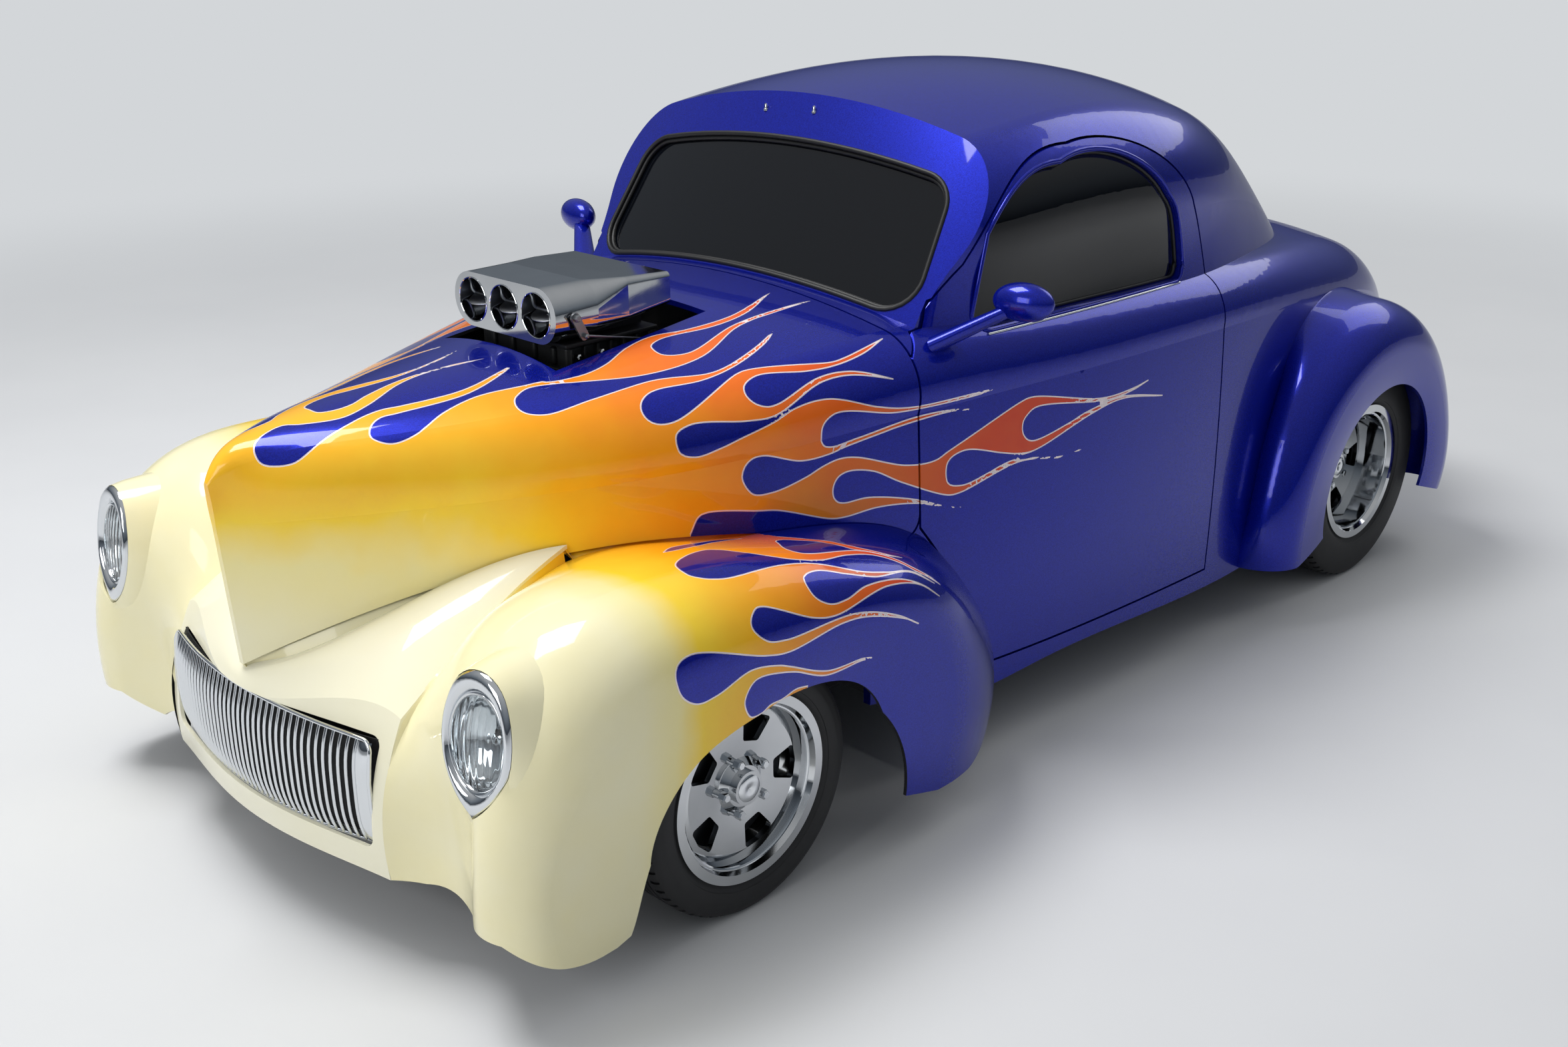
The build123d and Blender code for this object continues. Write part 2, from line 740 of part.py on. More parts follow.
def nosePieces(solidTub):
    """Nose panel, grille, headlights and both front fenders."""
    hoodRoom = tubSolid(-panelGap) & sidePrism(
        offset(hoodOutline(), amount=swingGap).face(), -farOut, farOut)
    doorGrown = doorPrism(swingGap)
    between = [
        (-noseFrontX, noseFrontY),
        (noseFrontX, noseFrontY),
        (noseRearX, noseRearY),
        (-noseRearX, noseRearY),
    ]
    nose = nosePanel() - hoodRoom
    nose = one(nose & planPrism(between, 0, 1000))
    outside = [
        (noseFrontX + fitGap, noseFrontY),
        (farOut, noseFrontY),
        (farOut, 1200),
        (noseRearX - 92, 1200),
        (noseRearX + fitGap, noseRearY),
    ]
    lamp = Plane((lampX, lampY, lampZ), x_dir=(1, 0, 0), z_dir=(0.10, -0.985, 0.14))
    socket = extrude(lamp * Pos(0, 0, -lampDeep - 60) * lampOutline(fitGap), 200)
    fender = frontFender() - hoodRoom - doorGrown - socket
    fender = fender - (solidTub & crossBox(-farOut, farOut, hoodRearY - 200, 1200, 0, 900))
    fender = one(fender & planPrism(outside, 0, 1000))

    facing = Plane((0, 0, 0), x_dir=(1, 0, 0), z_dir=(0, -1, 0))
    mouth = Face(
        Wire(
            [
                Edge.make_line((-grilleHalf, grilleLowZ, 0), (grilleHalf, grilleLowZ, 0)),
                Edge.make_line((grilleHalf, grilleLowZ, 0), (grilleHalf, grilleTopZ, 0)),
                Edge.make_three_point_arc(
                    (grilleHalf, grilleTopZ, 0), (0, grilleTopZ + 12, 0), (-grilleHalf, grilleTopZ, 0)
                ),
                Edge.make_line((-grilleHalf, grilleTopZ, 0), (-grilleHalf, grilleLowZ, 0)),
            ]
        )
    )
    mouth = fillet(mouth.vertices(), 24).face()

    def through(inset):
        return extrude(facing * offset(mouth, amount=-inset).face(), 900)

    parts["nose_panel"] = one(nose - extrude(facing * mouth, 900))
    parts["front_fender_left"] = fender
    parts["front_fender_right"] = mirrored(fender)

    bow = (grilleHalf * grilleHalf + grilleBow * grilleBow) / (2 * grilleBow)
    sheet = Pos(0, grilleY + bow, 0) * (Cylinder(bow, 1800) - Cylinder(bow - grilleDeep, 1800))
    grille = sheet & (through(fitGap) - through(barWidth + 2))
    pitch = 2 * (grilleHalf - barWidth) / (grilleBars + 1)
    comb = None
    for index in range(grilleBars):
        x = -grilleHalf + barWidth + pitch * (index + 1)
        bar = crossBox(x - barWidth / 2, x + barWidth / 2, -900, -500, 0, 700)
        comb = bar if comb is None else comb + bar
    parts["grille"] = one(grille + (sheet & through(barWidth) & comb))

    bezel = extrude(lamp * Pos(0, 0, -lampDeep) * lampOutline(), lampDeep + lampProud)
    front = bezel.faces().sort_by(lambda f: f.center().Y)[0]
    bezel = fillet(front.edges(), 9)
    glass = Ellipse(lampGlassWide, lampGlassTall)
    bore = extrude(lamp * Pos(0, 0, -lampDeep - 30) * glass, 200)
    glass = Ellipse(lampGlassWide - fitGap, lampGlassTall - fitGap)
    lens = extrude(Pos(0, 0, -30) * glass, 60) & Pos(0, 0, -255) * Sphere(262)
    parts["headlight_left"] = one(bezel - bore)
    parts["headlight_lens_left"] = one(lamp * lens)
    for name in ("headlight", "headlight_lens"):
        parts[name + "_right"] = mirrored(parts[name + "_left"])


def roadWheel(width, disc, axleX, y, z):
    """One road wheel about its axle line, open windows in the disc."""
    seat = width / 2 - tyreBeadIn + fitGap
    out = seat + rimLipThick
    barrel = Face(
        Wire(
            Polyline(
                (out, rimLipR),
                (seat, rimLipR),
                (seat, rimSeatR),
                (-seat, rimSeatR),
                (-seat, rimLipR),
                (-out, rimLipR),
                (-out, rimSeatR - 4),
                (-out + 12, rimBarrelR),
                (out - 12, rimBarrelR),
                (out, rimSeatR - 2),
                close=True,
            )
        )
    )
    face = Face(
        Wire(
            Polyline(
                (disc + 16, spindleR + fitGap),
                (disc + 16, hubR),
                (disc + 2, hubR + 16),
                (disc + 10, rimBarrelR - 30),
                (disc + 2, rimBarrelR + 1),
                (disc - 10, rimBarrelR + 1),
                (disc - 4, rimBarrelR - 34),
                (disc - 12, hubR + 16),
                (disc - 46, hubR),
                (disc - 46, spindleR + fitGap),
                close=True,
            )
        )
    )
    body = revolve(barrel, Axis.X, 360) + revolve(face, Axis.X, 360)
    hole = Face(Wire(Polyline((96, -22), (150, -42), (158, 0), (150, 42), (96, 22), close=True)))
    hole = fillet(hole.vertices(), 8)
    for index in range(windowCount):
        cut = Plane.YZ * Rot(0, 0, 360 / windowCount * index) * hole
        body = body - extrude(cut, 900, both=True)
    for index in range(windowCount):
        angle = radians(360 / windowCount * (index + 0.5))
        body = body + discX(lugR, disc - 10, disc + 24, lugCircleR * cos(angle), lugCircleR * sin(angle))
    cap = discX(hubR - 8, disc + 16, disc + 30, 0, 0)
    return Pos(axleX, y, z) * one(body + cap)


def tyre(radius, width, axleX, y, z):
    """One tyre, a band of flats that stands on one of them and seats on the rim."""
    half = width / 2
    bead = half - tyreBeadIn
    # place across the tread, radius there
    bands = [
        (-bead, rimLipR + 4),
        (-half, rimLipR + 30),
        (-half + tyreShoulder, radius),
        (half - tyreShoulder, radius),
        (half, rimLipR + 30),
        (bead, rimLipR + 4),
    ]
    wires = []
    for across, bandR in bands:
        frame = Plane((across, 0, 0), x_dir=(0, 0, -1), z_dir=(1, 0, 0))
        flats = RegularPolygon(bandR, tyreFlats, major_radius=False, rotation=180 / tyreFlats)
        wires.append((frame * flats).face().outer_wire())
    body = Solid.make_loft(wires, ruled=True)
    return Pos(axleX, y, z) * one(body - discX(rimSeatR + fitGap, -width, width, 0, 0))


def runningGear():
    """Wheels, tyres, axles and knuckles."""
    shapes = {
        "wheel_front": roadWheel(frontTyreWidth, frontDisc, frontTyreX, 0, frontAxleZ),
        "tyre_front": tyre(frontTyreR, frontTyreWidth, frontTyreX, 0, frontAxleZ),
        "wheel_rear": roadWheel(rearTyreWidth, rearDisc, rearTyreX, wheelbase, rearAxleZ),
        "tyre_rear": tyre(rearTyreR, rearTyreWidth, rearTyreX, wheelbase, rearAxleZ),
    }
    for name, shape in shapes.items():
        parts[name + "_left"] = shape
        parts[name + "_right"] = mirrored(shape)

    z0, z1 = frontAxleZ - kingpinHalf, frontAxleZ + kingpinHalf
    reach = earR * 0.8
    knuckle = discZ(kingpinR, z0, z1, kingpinX, 0)
    for z in (z0, z1 - earThick):
        knuckle = knuckle + discZ(earR, z, z + earThick, kingpinX, 0)
        knuckle = knuckle + crossBox(kingpinX, kingpinX + earR + 12, -reach, reach, z, z + earThick)
    webX = kingpinX + earR + 2
    knuckle = knuckle + crossBox(webX, webX + 10, -reach, reach, z0, z1)
    knuckle = knuckle + discX(spindleR, webX + 4, frontTyreX + frontDisc + 16 - shaftGap, 0, frontAxleZ)
    knuckle = knuckle + crossBox(kingpinX - 8, kingpinX + 8, earR * 0.6, 120, z0, z0 + earThick)
    parts["knuckle_left"] = one(knuckle)
    parts["knuckle_right"] = mirrored(parts["knuckle_left"])

    bossTop = z1 - earThick - fitGap
    bossLow = z0 + earThick + fitGap
    armX = kingpinX - 92
    beam = discX(beamR, -armX, armX, 0, beamZ)
    for side in (-1, 1):
        rise = Plane(
            (side * armX, 0, beamZ), x_dir=(0, 1, 0), z_dir=(side * 78, 0, frontAxleZ - beamZ)
        )
        beam = beam + extrude(rise * Circle(beamR * 0.85), 128)
        beam = beam + Pos(side * armX, 0, beamZ) * Sphere(beamR)
        beam = beam + crossBox(side * railX - 24, side * railX + 24, -40, 40, beamZ, frontRailZ)
    for side in (-1, 1):
        beam = beam - discZ(earR + 4, z0 - 40, z1 + 40, side * kingpinX, 0)
        boss = discZ(earR, bossLow, bossTop, side * kingpinX, 0)
        web = sorted((side * (kingpinX - earR - 14), side * kingpinX))
        boss = boss + crossBox(web[0], web[1], -12, 12, bossLow, bossTop)
        beam = beam + (boss - discZ(kingpinR + fitGap, z0, z1, side * kingpinX, 0))
    parts["front_axle"] = one(beam)

    flangeX = rearTyreX + rearDisc - 46
    axle = discX(axleTubeR, -flangeX + 40, flangeX - 40, wheelbase, rearAxleZ)
    tip = flangeX + 62 - shaftGap
    axle = axle + discX(spindleR, -tip, tip, wheelbase, rearAxleZ)
    axle = axle + Pos(0, wheelbase, rearAxleZ) * (Sphere(132) & Box(220, 400, 400))
    axle = axle + Pos(0, wheelbase - 150, rearAxleZ) * Rot(90, 0, 0) * Cylinder(48, 130)
    for side in (-1, 1):
        perch = (side * railX - 26, side * railX + 26, wheelbase - 36, wheelbase + 36)
        axle = axle + crossBox(*perch, rearAxleZ, rearFloorZ - railHeight)
    parts["rear_axle"] = one(axle)


def scoopPieces():
    """Air scoop with its butterflies, the blower below it and the engine."""
    def ovalWire(half, height, y, z, corner):
        frame = Plane((0, y, z), x_dir=(1, 0, 0), z_dir=(0, 1, 0))
        return (frame * RectangleRounded(2 * half, height, corner)).face().outer_wire()

    topZ = scoopZ + scoopHeight / 2
    kneeHeight = scoopRearHeight + 26
    sections = [
        ovalWire(scoopHalf, scoopHeight, scoopY, scoopZ, scoopHeight / 2 - 0.5),
        ovalWire(scoopHalf, scoopHeight, scoopY + 120, scoopZ, scoopHeight / 2 - 6),
        ovalWire(scoopRearHalf, kneeHeight, scoopY + 215, topZ - kneeHeight / 2 - 4, 18),
        ovalWire(scoopRearHalf, scoopRearHeight, scoopY + scoopLength, topZ - scoopRearHeight / 2 - 10, 12),
    ]
    shell = Solid.make_loft(sections[:2], ruled=True) + Solid.make_loft(sections[1:], ruled=True)
    holes = [(index - (scoopHoles - 1) / 2) * scoopHolePitch for index in range(scoopHoles)]
    shaftY = scoopY + 46
    plates = discX(shaftR, -scoopHalf - 14, scoopHalf + 14, shaftY, scoopZ)
    for x in holes:
        shell = shell - Pos(x, scoopY + 55, scoopZ) * Rot(90, 0, 0) * Cylinder(scoopHoleR, 170)
        plates = plates + Pos(x, shaftY, scoopZ) * Rot(-18, 0, 0) * Cylinder(scoopHoleR - 1.5, 3)
    shell = shell - discX(shaftR + fitGap, -farOut, farOut, shaftY, scoopZ)
    shell = shell - crossBox(-blowerHalf, blowerHalf, blowerY0, blowerY1, 1000, blowerTopZ)
    parts["scoop"] = one(shell)
    parts["scoop_butterflies"] = one(plates)
    case = crossBox(-150, 150, blowerY0 - 30, blowerY1 + 30, 920, 1060)
    parts["blower"] = one(case + crossBox(-blowerHalf, blowerHalf, blowerY0, blowerY1, 1060, blowerTopZ))
    engine = crossBox(-230, 230, -20, 560, 420, 760) + crossBox(-160, 160, 40, 500, 760, 920)
    engine = engine + crossBox(-120, 120, 60, 480, 180, 420)
    mountX = railX - railWidth / 2
    engine = engine + crossBox(-mountX, mountX, 120, 180, frontRailZ + 20, frontRailZ + 60)
    parts["engine_block"] = one(engine)
    core = crossBox(-280, 280, -470, -410, frontRailZ + 20, 560)
    core = core + crossBox(-mountX, mountX, -460, -420, frontRailZ + 20, frontRailZ + 60)
    parts["radiator"] = one(core)


def cabinPieces(tub):
    """Seat, dash with steering wheel, mirrors and tail lamps."""
    seatTop = floorZ + floorThick
    seat = crossBox(-seatHalf, seatHalf, seatFrontY, seatRearY, seatTop, seatTop + cushionTall)
    back = Rot(-backLean, 0, 0) * Box(2 * seatHalf, backThick, backTall)
    parts["seat"] = one(seat + Pos(0, seatRearY + 30, seatTop + cushionTall + 200) * back)
    dash = crossBox(-dashHalf, dashHalf, firewallY + floorThick, dashRearY, dashLowZ, dashTopZ)
    dash = dash & tubSolid(doorWall + hoopThick + 1, 3)
    column = Plane((steerX, dashRearY - 10, dashLowZ + 30), x_dir=(1, 0, 0), z_dir=(0, 0.83, 0.2))
    dash = dash + column * Pos(0, 0, 130) * Cylinder(16, 300)
    wheel = Torus(steerWheelR, steerRimR)
    wheel = wheel + Box(2 * steerWheelR, 24, 8) + Box(24, 2 * steerWheelR, 8)
    parts["dash"] = one(dash + column * Pos(0, 0, 280) * wheel)

    head = Pos(mirrorX, mirrorY, mirrorZ) * Rot(0, 0, 12) * scale(Sphere(50), (1.5, 0.8, 0.9))
    ends = [((634, 786, 1058), 34, 20), ((mirrorX - 20, mirrorY - 4, mirrorZ - 14), 22, 15)]
    wires = []
    for spot, wide, tall in ends:
        wires.append((Plane(spot, x_dir=(0, 1, 0), z_dir=(1, 0.4, 0.5)) * Ellipse(wide, tall)).face().outer_wire())
    mirror = one((head + Solid.make_loft(wires)) - tub - cabinSolid())
    parts["mirror_left"] = mirror
    parts["mirror_right"] = mirrored(mirror)
    lamp = one(Pos(330, 3480, 600) * scale(Sphere(40), (0.9, 1.2, 1.2)) - tub)
    parts["tail_lamp_left"] = lamp
    parts["tail_lamp_right"] = mirrored(lamp)


tub = bodyPieces()
print("body done")
floorPan()
frameRails()
print("floor and frame done")
nosePieces(tub)
rear = one(rearFender() - tub)
parts["rear_fender_left"] = rear
parts["rear_fender_right"] = mirrored(rear)
print("fenders done")
runningGear()
print("running gear done")
scoopPieces()
cabinPieces(tub)

middle = (noseY + tailY) / 2
os.makedirs("parts", exist_ok=True)
for name, shape in parts.items():
    solids = shape.solids()
    export_step(solids[0].moved(Location((0, -middle, 0))), f"parts/{name}.step")
    print(name, len(solids), shape.is_valid, round(shape.volume / 1e6, 2))
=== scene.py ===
import bpy
import bmesh
import math
import numpy as np
from mathutils import Matrix, Vector
from mathutils.bvhtree import BVHTree
from mathutils.geometry import intersect_point_line
from mathutils.interpolate import poly_3d_calc
from mathutils.kdtree import KDTree


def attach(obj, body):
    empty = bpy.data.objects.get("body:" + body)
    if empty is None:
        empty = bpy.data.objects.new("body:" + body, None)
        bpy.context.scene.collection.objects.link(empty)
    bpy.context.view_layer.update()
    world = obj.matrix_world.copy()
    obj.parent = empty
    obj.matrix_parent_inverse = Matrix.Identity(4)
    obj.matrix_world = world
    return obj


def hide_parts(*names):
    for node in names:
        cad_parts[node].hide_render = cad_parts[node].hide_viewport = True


# Hot rod coupe: flamed paint, chrome, polished scoop and wheels on the CAD frame.
# The car is described in millimetres, with stations counted from the front axle.

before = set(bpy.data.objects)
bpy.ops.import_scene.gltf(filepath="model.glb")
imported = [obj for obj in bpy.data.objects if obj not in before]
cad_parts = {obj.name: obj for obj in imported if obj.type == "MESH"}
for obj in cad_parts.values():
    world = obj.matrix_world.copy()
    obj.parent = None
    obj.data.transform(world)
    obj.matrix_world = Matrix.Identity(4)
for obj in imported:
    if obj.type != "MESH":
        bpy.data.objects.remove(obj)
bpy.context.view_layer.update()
print("frame loaded")

axleToMiddle = 1429.0  # mm from the front axle to the middle of the car


def at(x, y, z):
    return Vector((x, y - axleToMiddle, z)) / 1000


def hexColour(text):
    channels = [int(text[i:i + 2], 16) / 255 for i in (1, 3, 5)]
    linear = [c / 12.92 if c <= 0.04045 else ((c + 0.055) / 1.055) ** 2.4 for c in channels]
    return (*linear, 1.0)


# camera, floor and light

cameraSettings = {
    "lens": 39.752, "sensor": 36.0, "spot": (3.1304, -3.6338, 2.0738),
    "yaw": 44.981, "pitch": 20.522, "roll": -0.433,
}
studioSettings = {
    "floorHalf": 90.0, "fadeFrom": 3.4, "fadeTo": 9.0, "floorColour": "#DCDDDE",
    "skyLow": "#4C535C", "skyMid": "#9AA3AD", "skyHigh": "#F4F6F8", "skyStrength": 0.5, "backdrop": "#D3D6D9",
    "keySpot": (-2.0, -2.2, 7.4), "keySize": 3.4, "keyPower": 430.0,
    "fillSpot": (0.8, -7.0, 3.2), "fillSize": 3.0, "fillPower": 110.0,
    "backSpot": (1.0, 6.0, 5.0), "backSize": 4.0, "backPower": 90.0,
}


def addNode(tree, kind, settings=None, links=None):
    node = tree.nodes.new(kind)
    for key, value in (settings or {}).items():
        if isinstance(key, int) or key in node.inputs:
            node.inputs[key].default_value = value
        else:
            setattr(node, key, value)
    for key, source in (links or {}).items():
        tree.links.new(source, node.inputs[key])
    return node


def makeCamera(settings):
    yaw, pitch, roll = (math.radians(settings[k]) for k in ("yaw", "pitch", "roll"))
    ahead = Vector((-math.sin(yaw) * math.cos(pitch), math.cos(yaw) * math.cos(pitch), -math.sin(pitch)))
    across = Vector((math.cos(yaw), math.sin(yaw), 0))
    upward = across.cross(ahead)
    xAxis = math.cos(roll) * across + math.sin(roll) * upward
    yAxis = -math.sin(roll) * across + math.cos(roll) * upward
    data = bpy.data.cameras.new("photoCamera")
    data.lens = settings["lens"]
    data.sensor_width = settings["sensor"]
    data.clip_end = 200
    camera = bpy.data.objects.new("photoCamera", data)
    turn = Matrix((xAxis, yAxis, -ahead)).transposed().to_4x4()
    camera.matrix_world = Matrix.Translation(settings["spot"]) @ turn
    bpy.context.scene.collection.objects.link(camera)
    bpy.context.scene.camera = camera


def makeStudio(settings):
    mesh = bmesh.new()
    bmesh.ops.create_grid(mesh, x_segments=8, y_segments=8, size=settings["floorHalf"])
    data = bpy.data.meshes.new("studioFloor")
    mesh.to_mesh(data)
    mesh.free()
    floor = bpy.data.objects.new("studioFloor", data)
    bpy.context.scene.collection.objects.link(floor)
    # matt painted studio floor, even and pale with faint mottling
    paint = bpy.data.materials.new("mattFloorPaint")
    paint.use_nodes = True
    tree = paint.node_tree
    shader = tree.nodes["Principled BSDF"]
    shader.inputs["Roughness"].default_value = 0.85
    place = addNode(tree, "ShaderNodeTexCoord")
    mottle = addNode(tree, "ShaderNodeTexNoise", {"Scale": 1.2, "Detail": 6.0}, {"Vector": place.outputs["Object"]})
    tone = addNode(tree, "ShaderNodeMix", {"data_type": "RGBA", 6: hexColour(settings["floorColour"]),
                                           7: hexColour("#D3D4D6")}, {0: mottle.outputs["Fac"]})
    tree.links.new(tone.outputs[2], shader.inputs["Base Color"])
    # far off, the camera sees the floor fade into the plain backdrop
    fromMiddle = addNode(tree, "ShaderNodeVectorMath", {"operation": "LENGTH"}, {0: place.outputs["Object"]})
    fade = addNode(tree, "ShaderNodeMapRange", {"interpolation_type": "SMOOTHSTEP", "From Min": settings["fadeFrom"],
                                                "From Max": settings["fadeTo"]}, {"Value": fromMiddle.outputs["Value"]})
    path = addNode(tree, "ShaderNodeLightPath")
    share = addNode(tree, "ShaderNodeMath", {"operation": "MULTIPLY"}, {0: fade.outputs[0],
                                                                        1: path.outputs["Is Camera Ray"]})
    far = addNode(tree, "ShaderNodeEmission", {"Color": hexColour(settings["backdrop"]), "Strength": 1.0})
    faded = addNode(tree, "ShaderNodeMixShader", links={0: share.outputs[0], 1: shader.outputs[0], 2: far.outputs[0]})
    tree.links.new(faded.outputs[0], tree.nodes["Material Output"].inputs["Surface"])
    data.materials.append(paint)

    world = bpy.data.worlds.new("softSky")
    bpy.context.scene.world = world
    world.use_nodes = True
    tree = world.node_tree
    tree.nodes.clear()
    place = addNode(tree, "ShaderNodeTexCoord")
    height = addNode(tree, "ShaderNodeSeparateXYZ", links={"Vector": place.outputs["Generated"]})
    ramp = addNode(tree, "ShaderNodeValToRGB", links={"Fac": height.outputs["Z"]})
    ramp.color_ramp.elements[0].color = hexColour(settings["skyLow"])
    ramp.color_ramp.elements[1].color = hexColour(settings["skyHigh"])
    ramp.color_ramp.elements[1].position = 0.85
    middle = ramp.color_ramp.elements.new(0.22)
    middle.color = hexColour(settings["skyMid"])
    glow = addNode(tree, "ShaderNodeBackground", {"Strength": settings["skyStrength"]}, {"Color": ramp.outputs[0]})
    plain = addNode(tree, "ShaderNodeBackground", {"Color": hexColour(settings["backdrop"]), "Strength": 1.0})
    path = addNode(tree, "ShaderNodeLightPath")
    seen = addNode(tree, "ShaderNodeMixShader", links={0: path.outputs["Is Camera Ray"], 1: glow.outputs[0],
                                                       2: plain.outputs[0]})
    addNode(tree, "ShaderNodeOutputWorld", links={"Surface": seen.outputs[0]})

    for name in ("key", "fill", "back"):
        data = bpy.data.lights.new(name + "Softbox", "AREA")
        data.size = settings[name + "Size"]
        data.energy = settings[name + "Power"]
        lamp = bpy.data.objects.new(name + "Softbox", data)
        spot = Vector(settings[name + "Spot"])
        lamp.matrix_world = Matrix.Translation(spot) @ (Vector((0, 0, 0.5)) - spot).to_track_quat("-Z", "Y").to_matrix().to_4x4()
        bpy.context.scene.collection.objects.link(lamp)


makeCamera(cameraSettings)
makeStudio(studioSettings)
bpy.context.scene.view_settings.view_transform = "Standard"
print("studio ready")


# materials

def newFinish(name, values):
    material = bpy.data.materials.new(name)
    material.use_nodes = True
    tree = material.node_tree
    tree.nodes.clear()
    shader = addNode(tree, "ShaderNodeBsdfPrincipled", values)
    addNode(tree, "ShaderNodeOutputMaterial", links={"Surface": shader.outputs[0]})
    place = addNode(tree, "ShaderNodeTexCoord")
    return material, tree, shader, place.outputs["Object"]


def roughen(tree, shader, coords, grain, depth, detail=4.0):
    # grain and depth in millimetres
    noise = addNode(tree, "ShaderNodeTexNoise", {"Scale": 1000 / grain, "Detail": detail}, {"Vector": coords})
    bump = addNode(tree, "ShaderNodeBump", {"Distance": depth / 1000, "Strength": 0.6}, {"Height": noise.outputs["Fac"]})
    tree.links.new(bump.outputs[0], shader.inputs["Normal"])
    return noise


def mottled(tree, shader, coords, first, second, patch, socket="Base Color"):
    # two tones in patches of a size in millimetres
    noise = addNode(tree, "ShaderNodeTexNoise", {"Scale": 1000 / patch, "Detail": 5.0}, {"Vector": coords})
    tone = addNode(tree, "ShaderNodeMix", {"data_type": "RGBA", 6: hexColour(first), 7: hexColour(second)},
                   {0: noise.outputs["Fac"]})
    tree.links.new(tone.outputs[2], shader.inputs[socket])
    return tone


paintSettings = {
    "blue": "#050F80", "blueFlake": "#1024B0", "flake": 1.8,
    "cream": "#F3EED0", "stripe": "#F2E4E6", "stripeHalf": 1.7,
    "warmth": [(0.0, "#F6F2D6"), (0.28, "#F6E9A6"), (0.42, "#FFD83A"), (0.62, "#FFAA12"), (0.8, "#F2741C"), (1.0, "#DE3A1A")],
}
glossFinish = {"Metallic": 0.5, "Roughness": 0.25, "Specular IOR Level": 0.15,
               "Coat Weight": 0.6, "Coat Roughness": 0.025}


def flakeBlue(tree, coords):
    # metal flake is 0.1 mm across, drawn coarser so that it shows
    flake = addNode(tree, "ShaderNodeTexVoronoi", {"Scale": 1000 / paintSettings["flake"]}, {"Vector": coords})
    tone = addNode(tree, "ShaderNodeMix", {"data_type": "RGBA", 6: hexColour(paintSettings["blue"]),
                                           7: hexColour(paintSettings["blueFlake"])}, {0: flake.outputs["Color"]})
    return tone.outputs[2]


def makeBluePaint():
    # sprayed metallic lacquer under clear coat: deep blue, mirror gloss, faint sparkle
    material, tree, shader, coords = newFinish("metallicBlueLacquer", glossFinish)
    tree.links.new(flakeBlue(tree, coords), shader.inputs["Base Color"])
    return material


def makeFlamePaint():
    # the same blue lacquer with airbrushed flames and a brushed pinstripe under the clear coat
    material, tree, shader, coords = newFinish("flamedLacquer", glossFinish)
    edge = addNode(tree, "ShaderNodeAttribute", {"attribute_name": "flameEdge"})
    warmth = addNode(tree, "ShaderNodeAttribute", {"attribute_name": "warmth"})
    cloud = addNode(tree, "ShaderNodeTexNoise", {"Scale": 9.0, "Detail": 2.0}, {"Vector": coords})
    drift = addNode(tree, "ShaderNodeMath", {"operation": "MULTIPLY_ADD", 1: 0.10, 2: -0.05}, {0: cloud.outputs["Fac"]})
    warm = addNode(tree, "ShaderNodeMath", {"operation": "ADD"}, {0: warmth.outputs["Fac"], 1: drift.outputs[0]})
    ramp = addNode(tree, "ShaderNodeValToRGB", links={"Fac": warm.outputs[0]})
    stops = paintSettings["warmth"]
    ramp.color_ramp.elements[0].color = hexColour(stops[0][1])
    ramp.color_ramp.elements[1].color = hexColour(stops[-1][1])
    for position, colour in stops[1:-1]:
        ramp.color_ramp.elements.new(position).color = hexColour(colour)
    inside = addNode(tree, "ShaderNodeMath", {"operation": "GREATER_THAN", 1: 0.0}, {0: edge.outputs["Fac"]})
    body = addNode(tree, "ShaderNodeMix", {"data_type": "RGBA"},
                   {0: inside.outputs[0], 6: flakeBlue(tree, coords), 7: ramp.outputs[0]})
    away = addNode(tree, "ShaderNodeMath", {"operation": "ABSOLUTE"}, {0: edge.outputs["Fac"]})
    line = addNode(tree, "ShaderNodeMath", {"operation": "LESS_THAN", 1: paintSettings["stripeHalf"]},
                   {0: away.outputs[0]})
    striped = addNode(tree, "ShaderNodeMix", {"data_type": "RGBA", 7: hexColour(paintSettings["stripe"])},
                      {0: line.outputs[0], 6: body.outputs[2]})
    tree.links.new(striped.outputs[2], shader.inputs["Base Color"])
    solid = addNode(tree, "ShaderNodeMath", {"operation": "MULTIPLY_ADD", 1: -0.5, 2: 0.5}, {0: inside.outputs[0]})
    tree.links.new(solid.outputs[0], shader.inputs["Metallic"])
    return material


def makeCreamPaint():
    # solid ivory lacquer under clear coat
    finish = dict(glossFinish, Metallic=0.0)
    material, tree, shader, coords = newFinish("ivoryLacquer", finish)
    mottled(tree, shader, coords, paintSettings["cream"], "#F7F3DC", 180)
    return material


def makeChrome():
    # chromed steel: mirror bright, the polish faintly wavy
    material, tree, shader, coords = newFinish("chromedSteel", {"Metallic": 1.0, "Roughness": 0.06,
                                                                 "Base Color": hexColour("#DDE0E3")})
    roughen(tree, shader, coords, 40, 0.02, 1.0)
    return material


def makePolishedAluminium():
    # cast aluminium, buffed: bright with a soft haze and fine buffing marks
    material, tree, shader, coords = newFinish("buffedCastAluminium", {"Metallic": 1.0, "Roughness": 0.08})
    mottled(tree, shader, coords, "#D2D4D6", "#C2C5C8", 60)
    haze = addNode(tree, "ShaderNodeTexNoise", {"Scale": 45.0, "Detail": 6.0}, {"Vector": coords})
    level = addNode(tree, "ShaderNodeMapRange", {"To Min": 0.04, "To Max": 0.11}, {"Value": haze.outputs["Fac"]})
    tree.links.new(level.outputs[0], shader.inputs["Roughness"])
    roughen(tree, shader, coords, 3, 0.02)
    return material


def makePlainMetal(name, first, second, roughness, grain, depth, metallic=1.0):
    material, tree, shader, coords = newFinish(name, {"Metallic": metallic, "Roughness": roughness})
    mottled(tree, shader, coords, first, second, 25)
    roughen(tree, shader, coords, grain, depth)
    return material


